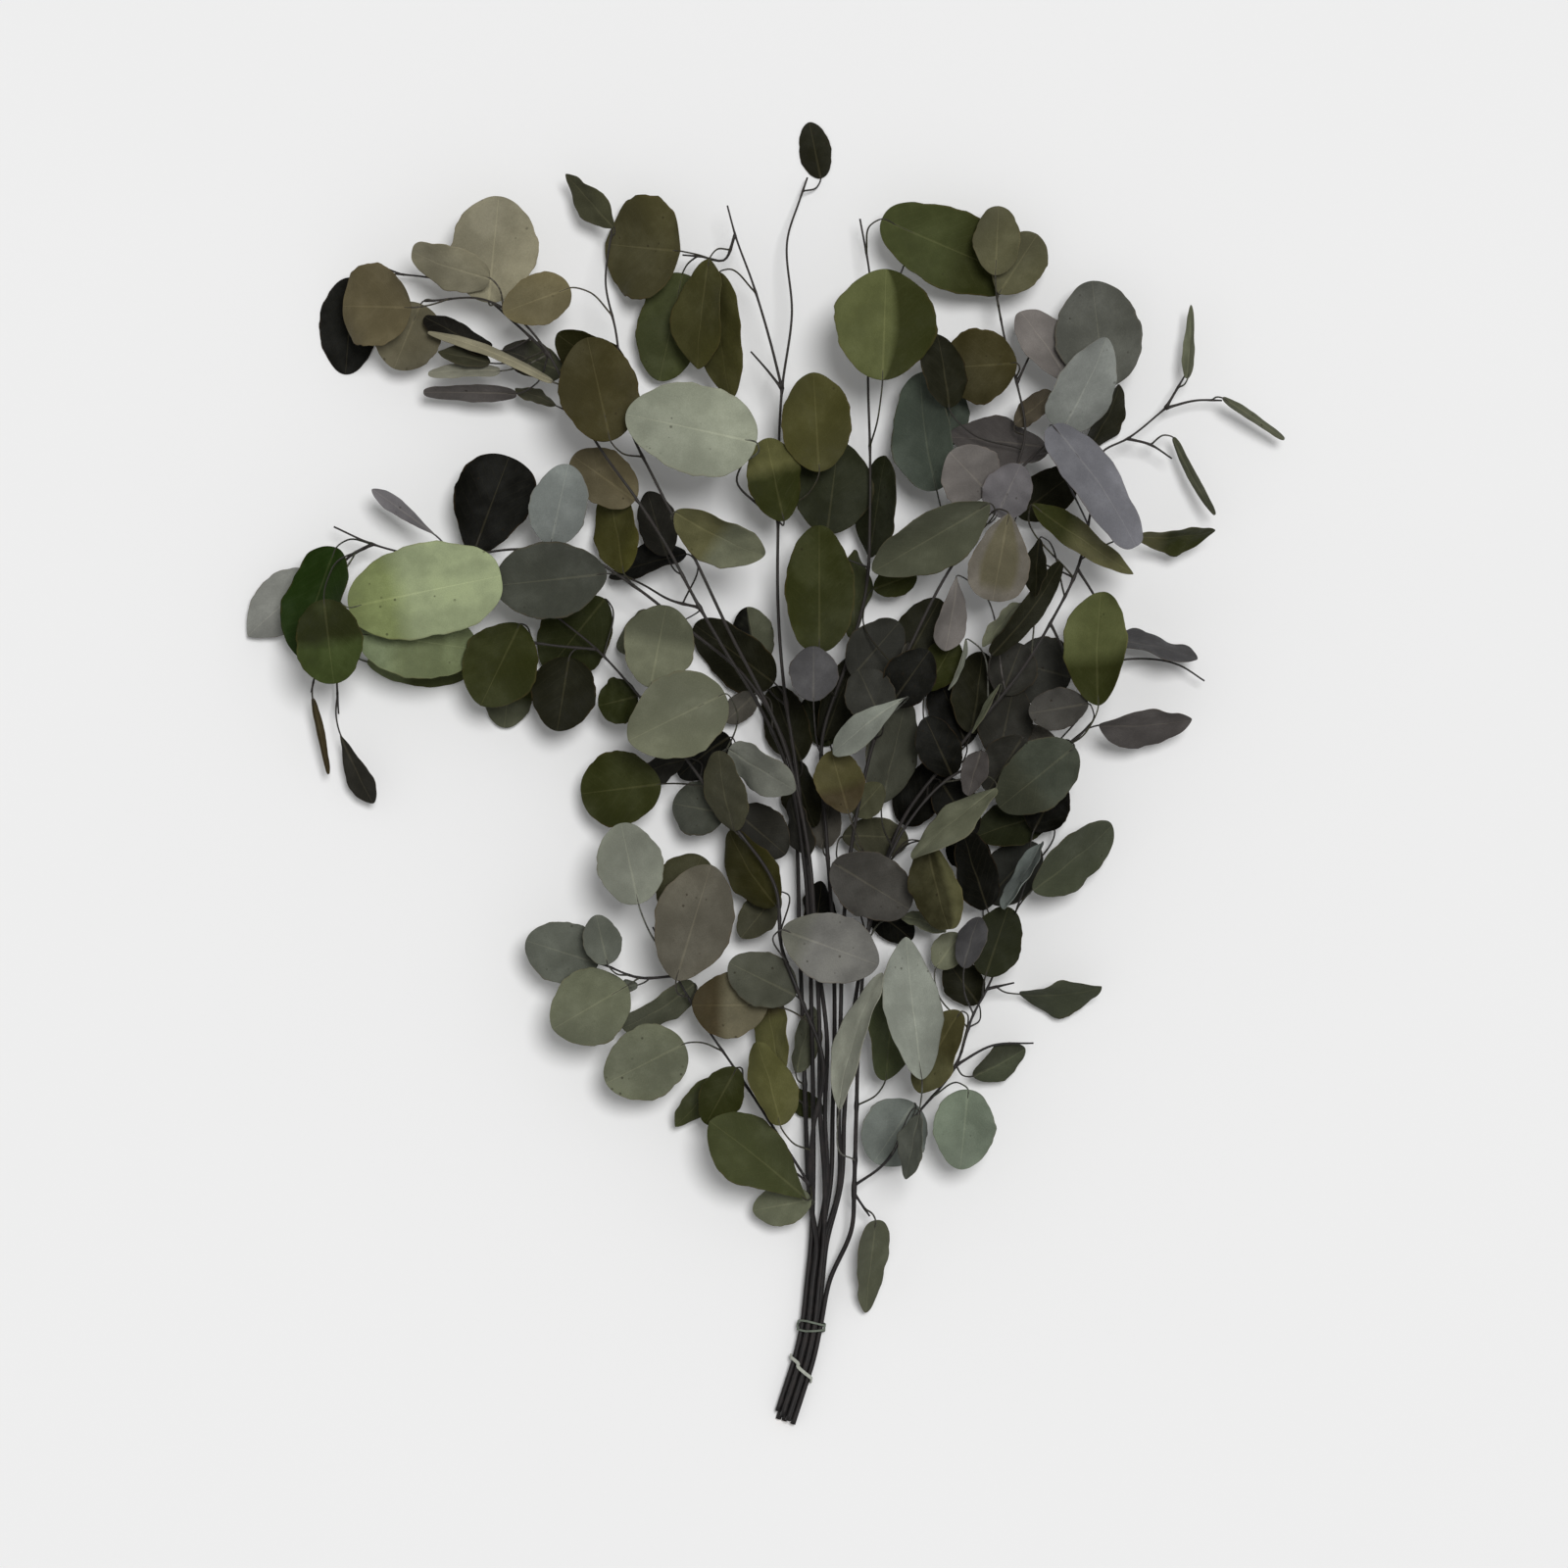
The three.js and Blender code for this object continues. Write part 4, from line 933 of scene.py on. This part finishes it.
def add_winding(shape, tie, slant):
    out = STEM_RADII[0] + TIE_CLEARANCE + ELASTIC_THICKNESS / 2
    slots = [b["slot"] for b in BRANCHES.values()]
    x, y, _ = in_bundle((0, 0), tie["at"])
    x1, y1, _ = in_bundle((0, 0), tie["at"] + 0.1)
    ahead = unit(np.array((x1 - x, y1 - y, 0)))
    coarse = []
    for i in range(TIE_CORNERS):
        angle = 2 * math.pi * i / TIE_CORNERS
        toward = [s[0] * STEM_PITCH * math.cos(angle) + s[1] * ROW_PITCH * math.sin(angle) for s in slots]
        far = slots[int(np.argmax(toward))]
        place = (far[0] + out * math.cos(angle) / STEM_PITCH, far[1] + out * math.sin(angle) / ROW_PITCH)
        lean = slant * math.sin(angle - tie["crossing"])
        coarse.append(np.array(in_bundle(place, tie["at"])) + ahead * lean)
    coarse = np.array(coarse)
    fine = []
    for i in range(TIE_CORNERS):
        p, q, r, s = (coarse[(i + d) % TIE_CORNERS] for d in (-1, 0, 1, 2))
        for t in np.arange(TIE_STEPS) / TIE_STEPS:
            fine.append(0.5 * (2 * q + (r - p) * t + (2 * p - 5 * q + 4 * r - s) * t ** 2
                               + (3 * q - p - 3 * r + s) * t ** 3))
    fine = np.array(fine)
    middle = fine.mean(axis=0)
    half_band = tie["band"] / 2
    section = [(math.cos(a) * half_band, math.sin(a) * ELASTIC_THICKNESS / 2)
               for a in 2 * np.pi * (np.arange(BAND_SIDES) + 0.5) / BAND_SIDES]
    points, places = [], []
    for i, centre in enumerate(fine):
        way = unit(fine[(i + 1) % len(fine)] - fine[i - 1])
        outward = centre - middle
        outward = unit(outward - way * outward.dot(way) - ahead * outward.dot(ahead))
        broad = unit(np.cross(outward, way))
        for a, b in section:
            shares = np.abs((a / half_band, b / (ELASTIC_THICKNESS / 2)))
            power = np.sign((a, b)) * shares ** BAND_SQUARENESS
            points.append(centre + broad * power[0] * half_band
                          + outward * power[1] * ELASTIC_THICKNESS / 2)
            places.append((i * KNIT_STEP, a, b))
    n, sides = len(fine), len(section)
    faces = []
    for i in range(n):
        for k in range(sides):
            a, b = i * sides + k, i * sides + (k + 1) % sides
            c, d = (i + 1) % n * sides + (k + 1) % sides, (i + 1) % n * sides + k
            faces.append((a, b, c, d))
    shape.add(np.array(points), faces, 0, place=np.array(places))


def wind_tie(name, tie, looks):
    shape = Shape()
    for slant in tie["slants"]:
        add_winding(shape, tie, slant)
    piece = shape.piece(name + "_elastic", [looks[name]])
    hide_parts(name)


# Materials

class Nodes:
    """Short names for the nodes of one material."""

    def __init__(self, name):
        self.material = bpy.data.materials.new(name)
        self.material.use_nodes = True
        self.tree = self.material.node_tree
        self.shader = self.tree.nodes["Principled BSDF"]

    def put(self, socket, value):
        if isinstance(value, bpy.types.NodeSocket):
            self.tree.links.new(value, socket)
        else:
            socket.default_value = value

    def mark(self, name, output="Vector"):
        node = self.tree.nodes.new("ShaderNodeAttribute")
        node.attribute_name = name
        return node.outputs[output]

    def parts(self, vector):
        node = self.tree.nodes.new("ShaderNodeSeparateXYZ")
        self.put(node.inputs[0], vector)
        return node.outputs

    def math(self, kind, a, b=0.0, c=0.0, clamp=False):
        node = self.tree.nodes.new("ShaderNodeMath")
        node.operation = kind
        node.use_clamp = clamp
        for socket, value in zip(node.inputs, (a, b, c)):
            self.put(socket, value)
        return node.outputs[0]

    def times(self, a, b):
        return self.math("MULTIPLY", a, b)

    def plus(self, a, b, clamp=False):
        return self.math("ADD", a, b, clamp=clamp)

    def steps(self, value, low, high, to_low=0.0, to_high=1.0):
        node = self.tree.nodes.new("ShaderNodeMapRange")
        node.interpolation_type = "SMOOTHSTEP"
        for socket, v in zip(node.inputs, (value, low, high, to_low, to_high)):
            self.put(socket, v)
        return node.outputs[0]

    def mix(self, factor, a, b, kind="MIX"):
        node = self.tree.nodes.new("ShaderNodeMix")
        node.data_type = "RGBA"
        node.blend_type = kind
        self.put(node.inputs[0], factor)
        self.put(node.inputs[6], a)
        self.put(node.inputs[7], b)
        return node.outputs[2]

    def scaled(self, colour, times):
        """The colour made lighter or darker by a number, or by a value of the blade."""
        node = self.tree.nodes.new("ShaderNodeVectorMath")
        node.operation = "SCALE"
        self.put(node.inputs[0], colour)
        self.put(node.inputs["Scale"], times)
        return node.outputs[0]

    def noise(self, vector, scale, detail=3.0, rough=0.55):
        node = self.tree.nodes.new("ShaderNodeTexNoise")
        self.put(node.inputs["Vector"], vector)
        node.inputs["Scale"].default_value = scale
        node.inputs["Detail"].default_value = detail
        node.inputs["Roughness"].default_value = rough
        return node.outputs["Fac"]

    def cells(self, vector, scale, feature="F1"):
        node = self.tree.nodes.new("ShaderNodeTexVoronoi")
        node.feature = feature
        self.put(node.inputs["Vector"], vector)
        node.inputs["Scale"].default_value = scale
        return node.outputs["Distance"]

    def bump(self, height, strength, distance):
        node = self.tree.nodes.new("ShaderNodeBump")
        node.inputs["Strength"].default_value = strength
        node.inputs["Distance"].default_value = distance
        self.put(node.inputs["Height"], height)
        self.put(self.shader.inputs["Normal"], node.outputs[0])

    def finish(self, colour, roughness, specular, sheen=0.0):
        self.put(self.shader.inputs["Base Color"], colour)
        self.put(self.shader.inputs["Roughness"], roughness)
        self.shader.inputs["Specular IOR Level"].default_value = specular
        self.shader.inputs["Sheen Weight"].default_value = sheen
        self.shader.inputs["Sheen Roughness"].default_value = 0.5
        return self.material


def leaf_material(name):
    n = Nodes(name)
    spot, place = n.mark("spot"), n.mark("place")
    along_mm, across_mm, _ = n.parts(spot)
    along, across, top = n.parts(place)
    share = n.parts(n.mark("share"))[0]
    broad = n.noise(spot, 0.045, 3.0, 0.6)
    patch = n.noise(spot, 0.16, 4.0, 0.6)
    grain = n.noise(spot, 1.4, 4.0, 0.65)
    wobble = n.times(n.math("SUBTRACT", broad, 0.5), 0.9)
    second = n.plus(share, wobble, clamp=True)
    tone = n.mix(second, n.mark("tone", "Color"), n.mark("second", "Color"))
    shade = n.plus(n.times(broad, 0.7), n.times(grain, 0.35))
    tone = n.scaled(tone, n.steps(shade, 0.3, 0.75, 0.8, 1.2))
    # veins: one midrib, and side veins that slant towards the tip
    aside = n.math("ABSOLUTE", across_mm)
    taper = n.steps(along, 0.0, 1.0, 0.75, 0.22)
    rib = n.math("SUBTRACT", 1.0, n.steps(n.math("DIVIDE", aside, taper), 0.5, 1.35))
    drift = n.times(patch, 3.2)
    run = n.math("SUBTRACT", n.plus(along_mm, drift), n.times(aside, 0.95))
    beat = n.math("PINGPONG", n.math("DIVIDE", run, 5.2), 0.5)
    side_vein = n.steps(beat, 0.0, 0.07, 1.0, 0.0)
    side_vein = n.times(side_vein, n.steps(n.math("ABSOLUTE", across), 0.7, 0.97, 1.0, 0.0))
    net = n.steps(n.cells(spot, 0.95, "DISTANCE_TO_EDGE"), 0.0, 0.12, 1.0, 0.0)
    pale = n.mix(0.12, n.scaled(tone, 1.6), colour_of(VEIN_TINT))
    veins = n.plus(n.times(rib, 0.36), n.times(side_vein, 0.12), clamp=True)
    veins = n.math("MAXIMUM", veins, n.times(net, 0.06))
    tone = n.mix(veins, tone, pale)
    # the pale bloom that lies on the blade in patches, thicker where it has not been rubbed
    bloom = n.times(n.steps(broad, 0.42, 0.68), n.steps(grain, 0.25, 0.7, 0.6, 1.0))
    bloomed = n.mix(0.012, n.scaled(tone, 1.16), colour_of(BLOOM_TINT))
    tone = n.mix(bloom, tone, bloomed)
    # the thin dry rim, and small dark flecks
    rim = n.times(n.steps(n.math("ABSOLUTE", across), 0.93, 1.0), n.steps(patch, 0.35, 0.6))
    tone = n.mix(n.times(rim, 0.3), tone, n.mix(0.5, tone, colour_of(RIM_TINT)))
    fleck = n.steps(n.cells(spot, 0.17), 0.09, 0.15, 1.0, 0.0)
    fleck = n.times(fleck, n.steps(broad, 0.5, 0.62))
    tone = n.mix(n.times(fleck, 0.6), tone, colour_of(FLECK_TINT))
    under = n.math("SUBTRACT", 1.0, top)
    tone = n.mix(n.times(under, 0.12), tone, colour_of(UNDERSIDE_TINT))
    height = n.plus(n.times(rib, -0.5), n.times(side_vein, -0.35))
    height = n.plus(height, n.times(net, -0.12))
    height = n.plus(height, n.times(grain, 0.5))
    height = n.plus(height, n.times(patch, 1.2))
    n.bump(height, 0.5, 0.00035)
    return n.finish(tone, n.steps(patch, 0.3, 0.7, 0.48, 0.62), 0.05)


def bark_material(name):
    n = Nodes(name)
    here = n.tree.nodes.new("ShaderNodeTexCoord").outputs["Object"]
    _, up, _ = n.parts(n.mark("place"))
    patch = n.noise(here, 160.0, 4.0, 0.6)
    streak = n.noise(here, 900.0, 3.0, 0.7)
    young = n.steps(up, 120.0, 520.0)
    tone = n.mix(young, colour_of(BARK_OLD), colour_of(BARK_YOUNG))
    tone = n.mix(n.steps(patch, 0.4, 0.72, 0.0, 0.6), tone, colour_of(BARK_PATCH))
    tone = n.mix(n.steps(streak, 0.55, 0.75, 0.0, 0.5), tone, colour_of(BARK_STREAK))
    n.bump(n.plus(patch, n.times(streak, 0.5)), 0.6, 0.0003)
    return n.finish(tone, n.steps(patch, 0.3, 0.7, 0.5, 0.72), 0.35)


def stalk_material(name):
    n = Nodes(name)
    spot = n.mark("spot")
    patch = n.noise(spot, 0.5, 3.0, 0.6)
    tone = n.mix(n.steps(patch, 0.35, 0.7), n.mark("tone", "Color"), n.mark("second", "Color"))
    n.bump(n.noise(spot, 2.5, 3.0, 0.6), 0.4, 0.0002)
    return n.finish(tone, n.steps(patch, 0.3, 0.7, 0.45, 0.62), 0.35)


def cut_material(name):
    n = Nodes(name)
    here = n.tree.nodes.new("ShaderNodeTexCoord").outputs["Object"]
    grain = n.noise(here, 1600.0, 3.0, 0.6)
    tone = n.mix(grain, colour_of(CUT_DARK), colour_of(CUT_PALE))
    n.bump(grain, 0.5, 0.0002)
    return n.finish(tone, n.steps(grain, 0.3, 0.7, 0.7, 0.9), 0.25)


def elastic_material(name, tie):
    n = Nodes(name)
    along, across, _ = n.parts(n.mark("place"))
    rib = n.math("PINGPONG", n.times(across, 2.2), 0.5)
    knit = n.math("PINGPONG", n.plus(n.times(along, 1.6), rib), 0.5)
    here = n.tree.nodes.new("ShaderNodeTexCoord").outputs["Object"]
    grime = n.noise(here, 420.0, 4.0, 0.6)
    tone = n.mix(knit, colour_of(tie["hollow"]), colour_of(tie["ridge"]))
    tone = n.mix(n.steps(grime, 0.45, 0.75, 0.0, 0.5), tone, n.scaled(tone, 0.5))
    n.bump(n.plus(knit, n.times(rib, 0.8)), 0.7, 0.0003)
    return n.finish(tone, n.steps(grime, 0.3, 0.7, 0.6, 0.8), 0.3)


def floor_material(name):
    n = Nodes(name)
    here = n.tree.nodes.new("ShaderNodeTexCoord").outputs["Object"]
    cloud = n.noise(here, 3.0, 3.0, 0.6)
    tone = n.mix(cloud, FLOOR_TONES[0], FLOOR_TONES[1])
    return n.finish(tone, n.steps(cloud, 0.3, 0.7, 0.9, 0.95), 0.1)


# The studio

FLOOR_TONES = ((0.862, 0.862, 0.862, 1), (0.878, 0.878, 0.878, 1))
WORLD_LIGHT = 0.4
KEY_TOWARD = (-0.155, -0.185, -1)
KEY_STRENGTH = 1.9
KEY_BREADTH = 18
CAMERA_LENS = 200
CAMERA_HEIGHT = 4.489
CAMERA_PLAN_Y = 330
CAMERA_REACH = 100
FLOOR_REACH = 6
FLOOR_DROP = 0.0002


def set_floor():
    mesh = bpy.data.meshes.new("floor")
    corners = [(-1, -1), (1, -1), (1, 1), (-1, 1)]
    points = [(x * FLOOR_REACH, y * FLOOR_REACH, -FLOOR_DROP) for x, y in corners]
    mesh.from_pydata(points, [], [(0, 1, 2, 3)])
    mesh.materials.append(floor_material("floor"))
    floor = bpy.data.objects.new("floor", mesh)
    bpy.context.collection.objects.link(floor)


def add_key_light(toward, strength, breadth):
    """A broad soft light that comes from one side all over the bunch."""
    data = bpy.data.lights.new("key", "SUN")
    data.energy = strength
    data.angle = math.radians(breadth)
    light = bpy.data.objects.new("key", data)
    light.rotation_mode = "QUATERNION"
    light.rotation_quaternion = Vector(toward).to_track_quat("-Z", "Y")
    bpy.context.collection.objects.link(light)


def set_studio():
    scene = bpy.context.scene
    scene.view_settings.view_transform = "Standard"
    world = bpy.data.worlds.new("studio")
    scene.world = world
    world.use_nodes = True
    world.node_tree.nodes["Background"].inputs[0].default_value = (1, 1, 1, 1)
    world.node_tree.nodes["Background"].inputs[1].default_value = WORLD_LIGHT
    add_key_light(KEY_TOWARD, KEY_STRENGTH, KEY_BREADTH)
    camera = bpy.data.objects.new("camera", bpy.data.cameras.new("camera"))
    camera.data.lens = CAMERA_LENS
    camera.data.clip_end = CAMERA_REACH
    across, along = PLAN_MIDDLE
    camera.location = (-across / 1000, (CAMERA_PLAN_Y - along) / 1000, CAMERA_HEIGHT)
    bpy.context.collection.objects.link(camera)
    scene.camera = camera


LOOKS = {
    "bark": bark_material("bark"),
    "stalk": stalk_material("stalk"),
    "cut": cut_material("cut_end"),
    "tie_upper": elastic_material("elastic_grey", TIES["tie_upper"]),
    "tie_lower": elastic_material("elastic_pale", TIES["tie_lower"]),
    "slot": {
        "branch_lower_left": "leaf_sage", "branch_left": "leaf_green", "branch_upper_left": "leaf_khaki",
        "branch_upper_left_inner": "leaf_khaki", "branch_top": "leaf_sage",
        "branch_top_right_inner": "leaf_olive", "branch_upper_right": "leaf_plum",
        "branch_right": "leaf_plum", "branch_lower_right": "leaf_olive",
    },
}
for slot in sorted(set(LOOKS["slot"].values())):
    LOOKS[slot] = leaf_material(slot)

set_floor()
for index, (name, branch) in enumerate(BRANCHES.items()):
    grow_branch(name, branch, index, LOOKS)
for name, tie in TIES.items():
    wind_tie(name, tie, LOOKS)
set_studio()
